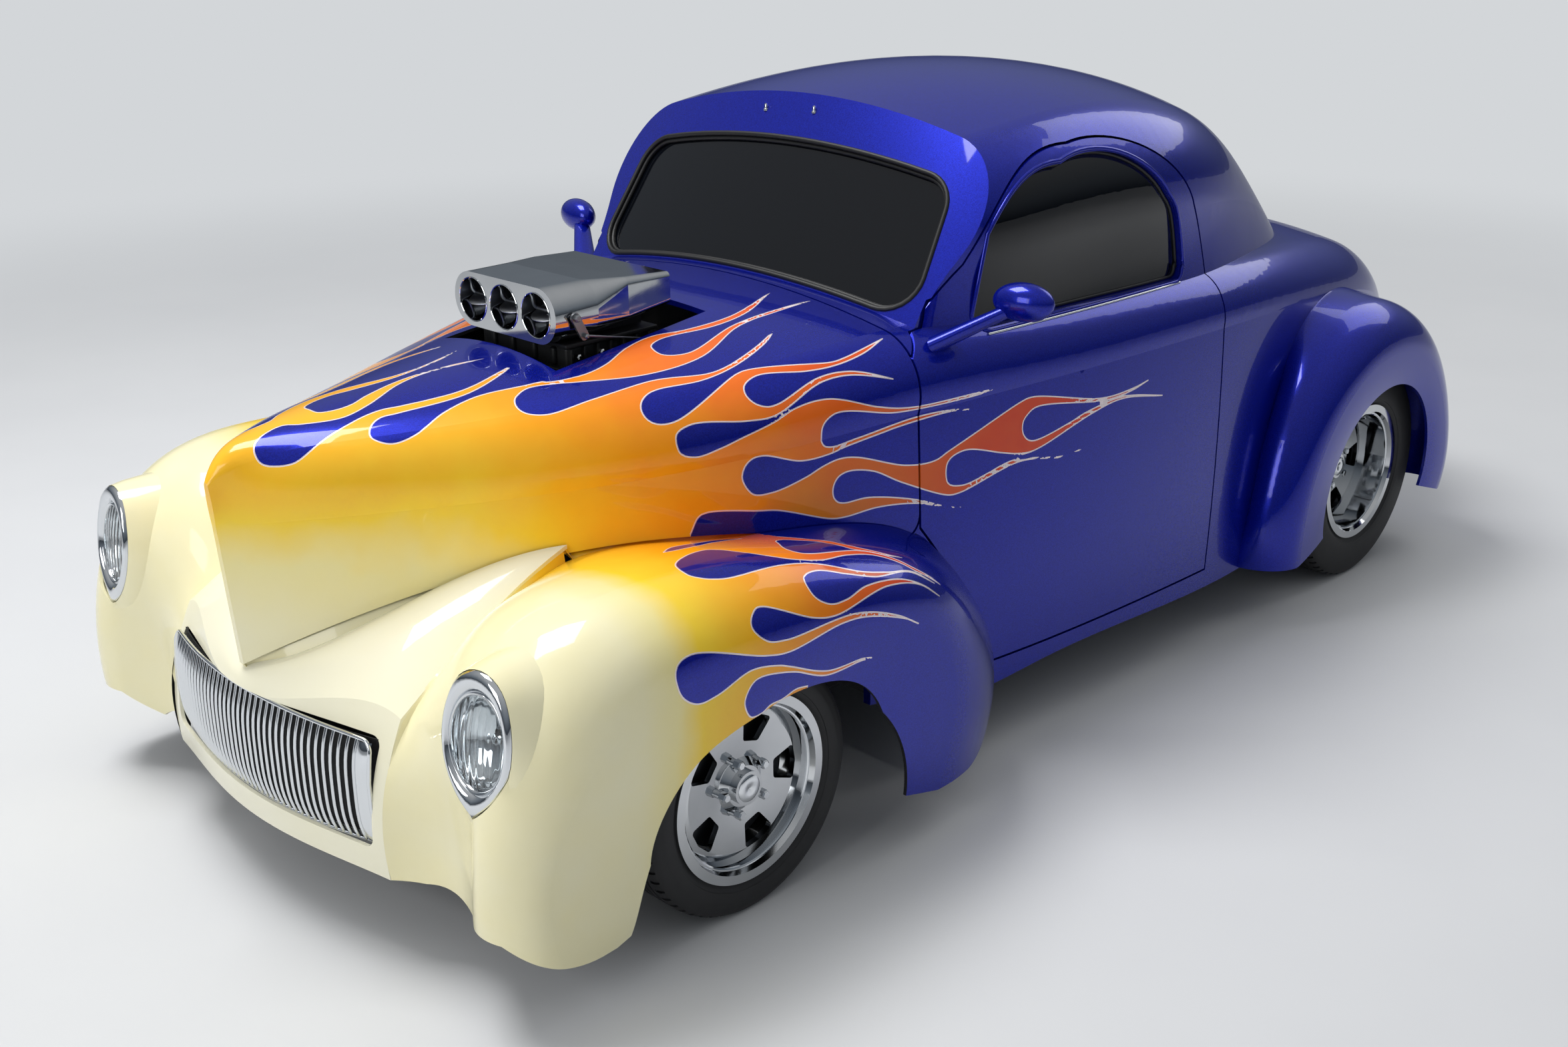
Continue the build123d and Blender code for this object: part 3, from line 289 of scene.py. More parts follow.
def makeGlass(name, colour, transmission, ribs=0.0):
    # float glass: clear gloss, tint all through
    material, tree, shader, coords = newFinish(name, {"Base Color": hexColour(colour), "Roughness": 0.02,
                                                      "IOR": 1.5, "Transmission Weight": transmission})
    if ribs:
        wave = addNode(tree, "ShaderNodeTexWave", {"Scale": 1000 / ribs / 6.283, "bands_direction": "X"},
                       {"Vector": coords})
        bump = addNode(tree, "ShaderNodeBump", {"Distance": 0.0015, "Strength": 0.7}, {"Height": wave.outputs["Fac"]})
        tree.links.new(bump.outputs[0], shader.inputs["Normal"])
    else:
        faint = addNode(tree, "ShaderNodeTexNoise", {"Scale": 3.0}, {"Vector": coords})
        level = addNode(tree, "ShaderNodeMapRange", {"To Min": 0.01, "To Max": 0.04}, {"Value": faint.outputs["Fac"]})
        tree.links.new(level.outputs[0], shader.inputs["Roughness"])
    return material


def makeSoft(name, first, second, roughness, grain, depth, patch=30, sheen=0.0):
    material, tree, shader, coords = newFinish(name, {"Roughness": roughness, "Sheen Weight": sheen})
    mottled(tree, shader, coords, first, second, patch)
    roughen(tree, shader, coords, grain, depth)
    return material


bluePaint = makeBluePaint()
flamePaint = makeFlamePaint()
creamPaint = makeCreamPaint()
chromedSteel = makeChrome()
buffedAluminium = makePolishedAluminium()
# brushed steel plates: dull, finely lined
brushedSteel = makePlainMetal("brushedSteel", "#9A9C9F", "#84878B", 0.34, 1.2, 0.05)
# cast iron under satin black engine enamel: sand-cast grain
blackCasting = makePlainMetal("enamelledCastIron", "#131415", "#1C1D1F", 0.5, 1.6, 0.25, 0.2)
# bare machined iron of the brake discs: grey, turned
turnedIron = makePlainMetal("turnedIron", "#6E7073", "#575A5E", 0.38, 0.8, 0.05)
# radiator core: thin dull aluminium fins
finnedCore = makePlainMetal("finnedAluminium", "#3B3C3E", "#2A2B2D", 0.6, 2.0, 0.4)
# chassis enamel: satin black with dust
chassisBlack = makePlainMetal("satinChassisEnamel", "#0F0F10", "#191919", 0.45, 2.5, 0.1, 0.0)
# sprayed stone guard under the wings: matt, pebbled
stoneGuard = makeSoft("sprayedStoneGuard", "#101011", "#191919", 0.85, 3.0, 0.6)
# tyre rubber: near black, matt, fine mould grain
tyreRubber = makeSoft("tyreRubber", "#18181A", "#222224", 0.62, 1.2, 0.12)
# extruded window rubber: black, satin
sealRubber = makeSoft("extrudedSealRubber", "#101011", "#171718", 0.5, 0.9, 0.05)
# dark tinted laminated glass
darkGlass = makeGlass("tintedLaminatedGlass", "#10151F", 0.7)
# pressed clear glass with upright flutes 9 mm apart
flutedGlass = makeGlass("flutedPressedGlass", "#EFF3F4", 1.0, 9.0)
# moulded red lens with upright ribs 6 mm apart
redLens = makeGlass("ribbedRedAcrylic", "#B10A12", 0.55, 6.0)
# silvered mirror glass
silveredGlass = makePlainMetal("silveredMirrorGlass", "#DDE1E4", "#D5DADD", 0.03, 30, 0.002)
# black upholstery leather: fine pebble grain, soft sheen
seatLeather = makeSoft("blackUpholsteryLeather", "#19191B", "#232326", 0.46, 2.2, 0.25, 40, 0.2)
# cut pile carpet: black, fibrous
pileCarpet = makeSoft("cutPileCarpet", "#141416", "#232327", 0.95, 1.5, 1.2, 12, 0.5)
# moulded ABS dash: charcoal, fine leather grain
mouldedAbs = makeSoft("mouldedAbs", "#222326", "#2A2B2E", 0.5, 1.4, 0.15)
# fine black wire mesh behind the grille
screenMesh = makeSoft("blackWireScreen", "#060607", "#101012", 0.7, 4.0, 1.5, 8)

cadFinishes = {
    "body_shell": bluePaint, "deck_lid": bluePaint, "rear_fender_left": bluePaint, "rear_fender_right": bluePaint,
    "nose_panel": creamPaint, "grille": chromedSteel, "headlight_left": chromedSteel,
    "headlight_right": chromedSteel, "windshield": darkGlass, "rear_window": darkGlass,
    "door_glass_left": darkGlass, "door_glass_right": darkGlass, "floor_pan": pileCarpet,
    "frame_rails": chassisBlack, "front_axle": chassisBlack, "rear_axle": chassisBlack,
    "knuckle_left": blackCasting, "knuckle_right": blackCasting, "wheel_front_left": buffedAluminium,
    "wheel_front_right": buffedAluminium, "wheel_rear_left": buffedAluminium,
    "wheel_rear_right": buffedAluminium, "scoop": buffedAluminium, "scoop_butterflies": brushedSteel,
    "blower": blackCasting, "engine_block": blackCasting, "radiator": finnedCore, "dash": mouldedAbs,
    "mirror_left": bluePaint, "mirror_right": bluePaint, "tail_lamp_left": redLens, "tail_lamp_right": redLens,
    "seat": seatLeather,
}
for nodeName, finish in cadFinishes.items():
    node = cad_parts[nodeName]
    node.data.materials.clear()
    node.data.materials.append(finish)
print("finishes on", len(cadFinishes), "CAD nodes")


# making and placing pieces

def finishPiece(mesh, name, materials, body, replaced=(), sharp=32):
    data = bpy.data.meshes.new(name)
    mesh.to_mesh(data)
    mesh.free()
    data.shade_smooth()
    data.set_sharp_from_angle(angle=math.radians(sharp))
    piece = bpy.data.objects.new(name, data)
    bpy.context.scene.collection.objects.link(piece)
    for material in materials:
        data.materials.append(material)
    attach(piece, body)
    if replaced:
        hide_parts(*replaced)
    return piece


def flipAcross(mesh):
    bmesh.ops.scale(mesh, vec=(-1, 1, 1), verts=mesh.verts)
    bmesh.ops.reverse_faces(mesh, faces=mesh.faces)


def onBothSides(build, name, materials, body, replaced=(), sharp=32):
    # body and replaced names end in the side, which is filled in here
    for side in ("left", "right"):
        mesh = build()
        if side == "right":
            flipAcross(mesh)
        finishPiece(mesh, name + side.capitalize(), materials, body.format(side),
                    [node.format(side) for node in replaced], sharp)


def spinProfile(profile, steps, closed=True):
    # a profile of (across, radius) pairs in mm, turned about the X axis
    mesh = bmesh.new()
    corners = [mesh.verts.new((across / 1000, 0, radius / 1000)) for across, radius in profile]
    ends = corners[1:] + corners[:1] if closed else corners[1:]
    edges = [mesh.edges.new(pair) for pair in zip(corners, ends)]
    bmesh.ops.spin(mesh, geom=corners + edges, cent=(0, 0, 0), axis=(1, 0, 0), angle=2 * math.pi,
                   steps=steps, use_merge=True)
    bmesh.ops.remove_doubles(mesh, verts=mesh.verts, dist=1e-6)
    bmesh.ops.recalc_face_normals(mesh, faces=mesh.faces)
    return mesh


def roundBars(name, lines, radius, closed):
    # round bars along lines of points, as one curve
    data = bpy.data.curves.new(name, "CURVE")
    data.dimensions = "3D"
    data.bevel_depth = radius / 1000
    data.bevel_resolution = 3
    data.use_fill_caps = True
    for points in lines:
        spline = data.splines.new("POLY")
        spline.points.add(len(points) - 1)
        for knot, spot in zip(spline.points, points):
            knot.co = (*spot, 1)
        spline.use_cyclic_u = closed
    return data


def placePiece(name, data, material, body):
    data.materials.append(material)
    piece = bpy.data.objects.new(name, data)
    bpy.context.scene.collection.objects.link(piece)
    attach(piece, body)
    return piece


def bead(name, points, radius, closed, material, body, slotName):
    return placePiece(name, roundBars(name, [points], radius, closed), material, body)


def beadOnBothSides(name, points, radius, closed, material, body, slotName):
    for side, sign in (("left", 1), ("right", -1)):
        spots = [Vector((sign * p.x, p.y, p.z)) for p in points]
        bead(name + side.capitalize(), spots, radius, closed, material, body.format(side), slotName)


def arcThrough(a, b, c, count):
    # points from a to c on the circle through b, without the last
    ax, ay, bx, by, cx, cy = *a, *b, *c
    d = 2 * (ax * (by - cy) + bx * (cy - ay) + cx * (ay - by))
    ux = ((ax * ax + ay * ay) * (by - cy) + (bx * bx + by * by) * (cy - ay) + (cx * cx + cy * cy) * (ay - by)) / d
    uy = ((ax * ax + ay * ay) * (cx - bx) + (bx * bx + by * by) * (ax - cx) + (cx * cx + cy * cy) * (bx - ax)) / d
    radius = math.hypot(ax - ux, ay - uy)
    first, middle, last = (math.atan2(y - uy, x - ux) for x, y in (a, b, c))
    turn = (last - first) % (2 * math.pi)
    if (middle - first) % (2 * math.pi) > turn:
        turn -= 2 * math.pi
    return [(ux + radius * math.cos(first + turn * k / count), uy + radius * math.sin(first + turn * k / count))
            for k in range(count)]


def roundCorner(before, corner, after, radius, count=8):
    corner, before, after = (Vector(p) for p in (corner, before, after))
    back, ahead = (before - corner).normalized(), (after - corner).normalized()
    half = back.angle(ahead) / 2
    reach = radius / math.tan(half)
    weight = math.sin(half)
    start, end = corner + back * reach, corner + ahead * reach
    points = []
    for k in range(count + 1):
        t = k / count
        a, b, c = (1 - t) ** 2, 2 * weight * t * (1 - t), t * t
        points.append(tuple((start * a + corner * b + end * c) / (a + b + c)))
    return points


def grown(points, amount):
    # a closed outline moved outward by an amount
    count = len(points)
    area = sum(points[i][0] * points[(i + 1) % count][1] - points[(i + 1) % count][0] * points[i][1]
               for i in range(count))
    sign = 1 if area > 0 else -1
    moved = []
    for i in range(count):
        along = (Vector(points[(i + 1) % count]) - Vector(points[i - 1])).normalized()
        moved.append((points[i][0] + sign * along.y * amount, points[i][1] - sign * along.x * amount))
    return moved


def nodeTree(*names):
    # a search tree over the triangles of some CAD nodes
    spots, corners = [], []
    for name in names:
        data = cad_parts[name].data
        start = len(spots)
        spots += [v.co.copy() for v in data.vertices]
        corners += [tuple(start + i for i in face.vertices) for face in data.polygons]
    return BVHTree.FromPolygons(spots, corners)


def castOn(tree, start, aim):
    hit = tree.ray_cast(start, aim)
    return hit[0]


# flames

# Outlines run around each flame from tip to tip: (station, angle up from level
# about a line along the car), smooth between the tips.
hoodFlames = {
    "lineX": 0, "lineZ": 560, "mmPerDegree": 8.0,
    "runs": [
        [(-460, 91.7), (-458, 87.0), (-430, 85.1), (-388, 84.8), (-344, 86.5), (-241, 88.6), (-119, 87.0),
         (-53, 84.4)],
        [(-53, 84.4), (-166, 87.3), (-222, 87.4), (-271, 86.2), (-365, 81.8), (-434, 80.7), (-509, 84.4),
         (-542, 87.2), (-604, 85.9), (-618, 84.3), (-621, 82.3), (-613, 80.2), (-576, 76.1), (-554, 75.2),
         (-473, 76.7), (-390, 78.1), (-353, 77.9), (-312, 76.5), (-179, 73.6), (-34, 76.4)],
        [(-34, 76.4), (-68, 74.6), (-181, 71.6), (-333, 74.4), (-367, 75.3), (-390, 74.7), (-410, 72.8),
         (-418, 70.5), (-393, 66.6), (-343, 65.6), (-260, 68.4), (-190, 69.4), (-147, 69.0), (-69, 66.8),
         (-25, 65.6), (-20, 64.9), (56, 62.9), (121, 63.5), (211, 67.0), (290, 68.1), (371, 65.8), (474, 64.6),
         (528, 65.1), (659, 68.6)],
        [(659, 68.6), (533, 63.7), (430, 63.2), (315, 65.6), (279, 65.4), (254, 64.0), (248, 60.0), (293, 57.4),
         (469, 61.0), (637, 60.5), (692, 59.8)],
        [(692, 59.8), (569, 60.1), (510, 60.3), (455, 59.6), (305, 54.6), (163, 55.6), (31, 61.1), (-10, 63.3),
         (-68, 65.4), (-100, 64.5), (-117, 63.2), (-127, 60.6), (-123, 58.2), (-91, 55.5), (16, 54.4), (153, 53.3),
         (188, 52.4), (268, 49.5), (315, 49.3), (425, 51.5), (507, 54.1)],
        [(507, 54.1), (462, 51.9), (337, 48.7), (245, 48.3), (148, 50.3), (120, 50.1), (95, 48.8), (84, 47.1),
         (84, 45.2), (96, 43.5), (137, 42.3), (325, 46.7), (356, 46.5), (517, 41.6), (554, 41.4), (674, 42.3)],
        [(674, 42.3), (602, 40.9), (522, 40.7), (455, 41.7), (352, 44.6), (309, 43.3), (303, 41.6), (310, 39.9),
         (331, 38.4), (358, 38.0), (470, 39.7), (544, 38.8), (639, 35.0)],
        [(639, 35.0), (539, 38.2), (482, 38.8), (449, 38.5), (345, 36.3), (280, 37.3), (162, 40.6), (128, 39.7),
         (128, 36.6), (161, 34.6), (219, 34.4), (260, 34.7), (341, 35.3), (396, 36.2), (471, 35.7), (589, 31.6),
         (679, 29.7), (925, 28.2)],
        [(925, 28.2), (885, 28.1), (641, 29.7), (478, 32.9), (450, 31.4), (454, 28.7), (470, 27.8), (543, 27.7),
         (690, 27.9), (801, 27.1), (861, 26.1)],
        [(861, 26.1), (801, 26.9), (651, 27.3), (606, 27.2), (507, 26.9), (471, 26.6), (400, 27.1), (313, 30.4),
         (286, 30.5), (269, 29.5), (262, 27.6), (283, 23.8), (330, 22.8), (410, 23.7), (452, 24.7), (494, 25.1),
         (536, 24.4), (668, 20.0), (750, 19.2), (793, 20.2), (1018, 24.6), (1058, 24.8), (1315, 20.6),
         (1439, 20.5), (1504, 21.0)],
        [(1504, 21.0), (1439, 20.2), (1334, 20.0), (1074, 22.9), (1046, 22.3), (1026, 21.0), (1024, 19.5),
         (1034, 18.1), (1058, 17.1), (1187, 18.1), (1250, 19.0), (1382, 19.7), (1450, 19.1), (1568, 17.3)],
        [(1568, 17.3), (1392, 19.3), (1269, 18.4), (1091, 15.5), (1051, 15.2), (1003, 15.7), (957, 16.7),
         (832, 19.4), (785, 17.9), (785, 14.4), (828, 12.9), (911, 13.7), (957, 14.4), (1004, 14.6), (1180, 12.2),
         (1243, 12.6)],
        [(1243, 12.6), (1185, 12.0), (1012, 14.0), (820, 11.6), (784, 11.9), (654, 17.1), (578, 20.9), (511, 22.3),
         (486, 21.6), (475, 20.0), (475, 18.2), (485, 16.9), (502, 16.3), (563, 16.0), (693, 12.8), (776, 9.8),
         (824, 8.6)],
        [(824, 8.6), (776, 9.7), (692, 12.1), (588, 13.5), (501, 13.4), (465, 13.9), (339, 18.8), (295, 19.9),
         (178, 22.9), (160, 22.4), (142, 19.2)],
    ],
    "closing": [(142, -95), (-900, -95), (-900, 95), (-460, 95)],
    "holes": [],
}
fenderFlames = {
    "lineX": 650, "lineZ": 400, "mmPerDegree": 5.5,
    "runs": [
        [(284, 94.4), (311, 83.3), (335, 77.0), (346, 68.4), (417, 59.8), (460, 57.0)],
        [(460, 57.0), (413, 59.2), (370, 62.5), (328, 66.2), (301, 78.7), (277, 82.9), (258, 86.7), (233, 86.5),
         (207, 81.3), (170, 71.8), (185, 68.0), (344, 63.8), (415, 58.4), (476, 50.9), (513, 46.6), (542, 42.2)],
        [(542, 42.2), (503, 46.7), (465, 50.5), (434, 54.6), (368, 60.3), (293, 62.5), (210, 62.8), (144, 65.8),
         (114, 68.4), (84, 72.4), (64, 77.6), (45, 83.3), (19, 86.2), (-98, 80.0), (-116, 72.2), (-100, 69.0),
         (-76, 67.1), (-45, 65.9), (101, 64.8), (180, 62.2), (289, 54.9), (370, 52.0), (454, 50.1), (518, 43.4)],
        [(518, 43.4), (451, 49.7), (417, 50.9), (326, 51.7), (246, 55.5), (175, 59.4), (135, 59.2), (122, 57.9),
         (124, 52.5), (158, 48.6), (211, 48.0), (282, 49.8), (403, 48.2), (470, 43.8), (517, 37.9)],
        [(517, 37.9), (456, 44.5), (348, 47.5), (172, 44.8), (105, 46.6), (-18, 54.6), (-36, 54.6), (-58, 52.1),
         (-61, 50.0), (-33, 45.7), (20, 43.8), (235, 42.9), (357, 37.1), (424, 31.1)],
        [(424, 31.1), (382, 34.9), (264, 40.7), (186, 41.9), (29, 40.3), (-36, 41.9), (-227, 49.8), (-262, 48.4),
         (-270, 46.0), (-259, 41.1), (-218, 36.7), (-168, 36.7), (-80, 39.6), (-3, 37.7), (36, 35.5), (149, 28.2),
         (249, 27.0), (279, 25.7)],
        [(279, 25.7), (246, 26.4), (144, 26.8), (42, 33.6), (-53, 36.5), (-74, 35.6), (-88, 33.2), (-94, 30.1),
         (-75, 23.7), (-42, 23.3), (-20, 25.0), (14, 25.2), (53, 26.7), (87, 25.9)],
    ],
    "closing": [(87, -200), (-900, -200), (-900, 200), (284, 200)],
    "holes": [
        [[(-49, 93.4), (-10, 97.3), (80, 99.0), (155, 102.8), (213, 100.8)], [(213, 100.8), (127, 97.4),
         (51, 93.7), (-19, 92.7), (-49, 93.4)]],
    ],
}
panelSettings = {"finest": 8.0, "spread": 0.35, "sampleStep": 3.0, "passes": 11, "tipFinest": 2.6, "tipReach": 0.17}


def smoothRun(points, stretch, step):
    # an even curve through one run of outline points, its end left out
    knots = [Vector((y, angle * stretch)) for y, angle in points]
    knots = [knots[0] * 2 - knots[1], *knots, knots[-1] * 2 - knots[-2]]
    samples = []
    for i in range(1, len(knots) - 2):
        p0, p1, p2, p3 = knots[i - 1:i + 3]
        t0 = 0.0
        t1 = t0 + max((p1 - p0).length, 1e-6) ** 0.5
        t2 = t1 + max((p2 - p1).length, 1e-6) ** 0.5
        t3 = t2 + max((p3 - p2).length, 1e-6) ** 0.5
        count = max(2, math.ceil((p2 - p1).length / step))
        for k in range(count):
            t = t1 + (t2 - t1) * k / count
            a1 = p0 * ((t1 - t) / (t1 - t0)) + p1 * ((t - t0) / (t1 - t0))
            a2 = p1 * ((t2 - t) / (t2 - t1)) + p2 * ((t - t1) / (t2 - t1))
            a3 = p2 * ((t3 - t) / (t3 - t2)) + p3 * ((t - t2) / (t3 - t2))
            b1 = a1 * ((t2 - t) / (t2 - t0)) + a2 * ((t - t0) / (t2 - t0))
            b2 = a2 * ((t3 - t) / (t3 - t1)) + a3 * ((t - t1) / (t3 - t1))
            spot = b1 * ((t2 - t) / (t2 - t1)) + b2 * ((t - t1) / (t2 - t1))
            samples.append((spot.x, spot.y / stretch))
    return samples


class FlameChart:
    # the outlines of one flame layout, laid on the skin that carries it

    def __init__(self, flames, skin):
        self.lineX, self.lineZ = flames["lineX"], flames["lineZ"]
        step, stretch = panelSettings["sampleStep"], flames["mmPerDegree"]
        self.loops, paths = [], []
        outline = []
        for run in flames["runs"]:
            outline += smoothRun(run, stretch, step)
        outline.append(flames["runs"][-1][-1])
        paths.append(outline)
        self.loops.append(outline + flames["closing"])
        for hole in flames["holes"]:
            outline = []
            for run in hole:
                outline += smoothRun(run, stretch, step)
            outline.append(hole[-1][-1])
            paths.append(outline)
            self.loops.append(outline)
        self.spots, self.lastOf = [], set()
        for path in paths:
            reach = None
            for y, angle in path:
                turn = math.radians(angle)
                outward = Vector((math.cos(turn), 0, math.sin(turn)))
                middle = at(self.lineX, y, self.lineZ)
                hit = castOn(skin, middle + outward * 1.5, -outward)
                found = (hit - middle).dot(outward) if hit is not None else None
                if found is None or (reach is not None and abs(found - reach) > 0.04):
                    found = reach if reach is not None else 0.5
                reach = found
                self.spots.append(middle + outward * found)
            self.lastOf.add(len(self.spots) - 1)
        self.tree = KDTree(len(self.spots))
        for index, spot in enumerate(self.spots):
            self.tree.insert(spot, index)
        self.tree.balance()
        tips = [index for index, (y, angle) in enumerate(pair for path in paths for pair in path)
                if (y, angle) in {(run[0][0], run[0][1]) for run in flames["runs"]} or index in self.lastOf]
        self.tips = KDTree(len(tips))
        for index in tips:
            self.tips.insert(self.spots[index], index)
        self.tips.balance()

    def finestAt(self, spot):
        # the finest edge wanted there, finer where an outline narrows to a tip
        _, _, reach = self.tips.find(Vector((abs(spot.x), spot.y, spot.z)))
        return panelSettings["tipFinest"] if reach < panelSettings["tipReach"] else panelSettings["finest"]

    def away(self, spot):
        # millimetres from a point, on either side of the car, to the nearest outline
        spot = Vector((abs(spot.x), spot.y, spot.z))
        _, index, nearest = self.tree.find(spot)
        for first in (index - 1, index):
            if first < 0 or first in self.lastOf:
                continue
            a, b = self.spots[first], self.spots[first + 1]
            foot, part = intersect_point_line(spot, a, b)
            if 0 < part < 1:
                nearest = min(nearest, (foot - spot).length)
        return nearest * 1000

    def inside(self, ys, angles):
        order = np.argsort(ys)
        sortedYs = ys[order]
        odd = np.zeros(len(ys), bool)
        for loop in self.loops:
            for (y0, a0), (y1, a1) in zip(loop, loop[1:] + loop[:1]):
                if y0 == y1:
                    continue
                first, last = np.searchsorted(sortedYs, (min(y0, y1), max(y0, y1)))
                rows = order[first:last]
                odd[rows] ^= angles[rows] < a0 + (ys[rows] - y0) / (y1 - y0) * (a1 - a0)
        return odd


# place on the cream to red scale, for stations along the car at four heights
warmthStations = (-700, -300, 100, 500, 900, 1500)
warmthRows = {
    600: (0.06, 0.24, 0.46, 0.72, 0.95, 1.0),
    750: (0.24, 0.34, 0.56, 0.78, 0.95, 1.0),
    900: (0.50, 0.46, 0.62, 0.82, 0.96, 1.0),
    1050: (0.54, 0.58, 0.76, 0.90, 1.0, 1.0),
}


def hoodWarmth(y, z):
    across = [np.interp(y, warmthStations, row) for row in warmthRows.values()]
    return float(np.interp(z, tuple(warmthRows), across))


def fenderWarmth(y, z):
    return float(np.interp(y, (-350, -200, 0, 200, 420), (0.12, 0.42, 0.62, 0.8, 1.0)))


def paintedMesh(nodeName, chart, warmthAt, facesOut):
    # a finer copy of a CAD node that carries the flame outline on its vertices
    mesh = bmesh.new()
    mesh.from_mesh(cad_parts[nodeName].data)
    bmesh.ops.remove_doubles(mesh, verts=mesh.verts, dist=1e-5)
    mesh.normal_update()
    spread = panelSettings["spread"]
    for _ in range(panelSettings["passes"]):
        longEdges = []
        for edge in mesh.edges:
            length = edge.calc_length() * 1000
            if length <= panelSettings["tipFinest"] * 1.5:
                continue
            middle = (edge.verts[0].co + edge.verts[1].co) / 2
            finest = chart.finestAt(middle)
            if length <= finest * 1.5:
                continue
            if not any(facesOut(middle, face.normal) for face in edge.link_faces):
                continue
            away = chart.away(middle)
            if finest < panelSettings["finest"]:
                finest = max(finest, away * 0.5)
            if length > max(finest * 1.5, spread * (away - length / 2)):
                longEdges.append(edge)
        if not longEdges:
            break
        bmesh.ops.subdivide_edges(mesh, edges=longEdges, cuts=1)
        bmesh.ops.triangulate(mesh, faces=[face for face in mesh.faces if len(face.verts) > 3])
        mesh.normal_update()
    edgeLayer = mesh.verts.layers.float.new("flameEdge")
    warmLayer = mesh.verts.layers.float.new("warmth")
    ys = np.array([v.co.y * 1000 + axleToMiddle for v in mesh.verts])
    angles = np.array([math.degrees(math.atan2(v.co.z * 1000 - chart.lineZ, abs(v.co.x) * 1000 - chart.lineX))
                       for v in mesh.verts])
    within = chart.inside(ys, angles)
    for vertex, isIn, y in zip(mesh.verts, within, ys):
        distance = chart.away(vertex.co)
        vertex[edgeLayer] = distance if isIn else -distance
        vertex[warmLayer] = warmthAt(y, vertex.co.z * 1000)
    for face in mesh.faces:
        face.material_index = 0 if facesOut(face.calc_center_median(), face.normal) else 1
    return mesh


def keepShading(piece, nodeName):
    # the CAD node's own smooth shading, carried over to the finer copy
    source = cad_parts[nodeName].data
    tree = nodeTree(nodeName)
    corners = source.corner_normals
    normals = []
    data = piece.data
    for face in data.polygons:
        _, _, index, _ = tree.find_nearest(face.center)
        old = source.polygons[index]
        triangle = [source.vertices[i].co for i in old.vertices]
        shades = [corners[i].vector for i in old.loop_indices]
        for vertex in face.vertices:
            weights = poly_3d_calc(triangle, data.vertices[vertex].co)
            normal = shades[0] * weights[0] + shades[1] * weights[1] + shades[2] * weights[2]
            normals.append(normal.normalized() if normal.length > 0.1 else face.normal.copy())
    data.normals_split_custom_set(normals)


def hoodOut(spot, normal):
    return normal.x * math.copysign(1, spot.x) + 0.7 * normal.z - 0.8 * normal.y > 0


def doorOut(spot, normal):
    return normal.x * math.copysign(1, spot.x) > -0.25


def fenderOut(spot, normal):
    side = math.copysign(1, spot.x)
    middle = at(690 * side, 40, 230)
    return normal.dot(spot - middle) > 0.0


def paintPanel(nodeName, pieceName, chart, warmthAt, facesOut, body, inner, twin=None):
    mesh = paintedMesh(nodeName, chart, warmthAt, facesOut)
    copy = mesh.copy() if twin else None
    piece = finishPiece(mesh, pieceName, (flamePaint, inner), body, [nodeName])
    keepShading(piece, nodeName)
    print(pieceName, len(piece.data.polygons), "faces")
    if twin:
        flipAcross(copy)
        twinNode, twinPiece, twinBody = twin
        piece = finishPiece(copy, twinPiece, (flamePaint, inner), twinBody, [twinNode])
        keepShading(piece, twinNode)


def fillSeam(name, first, second, warmthAt):
    # a painted flange between two lines of points where two panels meet, on both sides
    for side, sign in (("Left", 1), ("Right", -1)):
        mesh = bmesh.new()
        warmLayer = mesh.verts.layers.float.new("warmth")
        edgeLayer = mesh.verts.layers.float.new("flameEdge")
        lines = []
        for spots in (first, second):
            knots = [mesh.verts.new((sign * p.x, p.y, p.z)) for p in spots]
            lines += [mesh.edges.new(pair) for pair in zip(knots, knots[1:])]
        bmesh.ops.bridge_loops(mesh, edges=lines)
        for vertex in mesh.verts:
            vertex[edgeLayer] = 60.0
            vertex[warmLayer] = warmthAt(vertex.co.y * 1000 + axleToMiddle, vertex.co.z * 1000)
        bmesh.ops.recalc_face_normals(mesh, faces=mesh.faces)
        if sum(face.normal.z - face.normal.y for face in mesh.faces) < 0:
            bmesh.ops.reverse_faces(mesh, faces=mesh.faces)
        bmesh.ops.solidify(mesh, geom=mesh.faces[:], thickness=0.0015)
        finishPiece(mesh, name + side, (flamePaint,), "body")


def hoodSeatLines():
    # the hood's lower edge, a little under it, and the panel below it
    hoodTree, panelTree = nodeTree("hood"), nodeTree("nose_panel", "front_fender_left")
    seam = arcThrough((-740, 500), (-345, 685), (48, 733), 80) + arcThrough((48, 733), (370, 694), (620, 625), 40)
    upper, lower = [], []
    for y, z in seam:
        hit = castOn(hoodTree, at(1100, y, z + 4), Vector((-1, 0, 0)))
        if hit is None:
            continue
        edge = Vector((hit.x - 0.012, hit.y, (z - 2) / 1000))
        foot, _, _, gap = panelTree.find_nearest(edge)
        if gap is None or gap > 0.075 or y > 330:
            continue
        upper.append(edge)
        lower.append(foot + (foot - edge).normalized() * 0.004 - Vector((0, 0, 0.001)))
    return upper, lower


def noseSeamLines():
    # the nose panel's side edge and the fender's inner edge beside it
    noseTree, fenderTree = nodeTree("nose_panel"), nodeTree("front_fender_left")
    start, end = Vector((448, -760)), Vector((360, 200))
    near, far = [], []
    for k in range(60):
        y = -700 + 620 * (k / 59) ** 1.0
        x = start.x + (end.x - start.x) * (y - start.y) / (end.y - start.y)
        up = castOn(noseTree, at(x - 2.5, y, 1500), Vector((0, 0, -1)))
        beside = castOn(fenderTree, at(x + 3.5, y, 1500), Vector((0, 0, -1)))
        if up is not None and beside is not None and (up - beside).length < 0.09:
            near.append(up)
            far.append(beside)
    return near, far


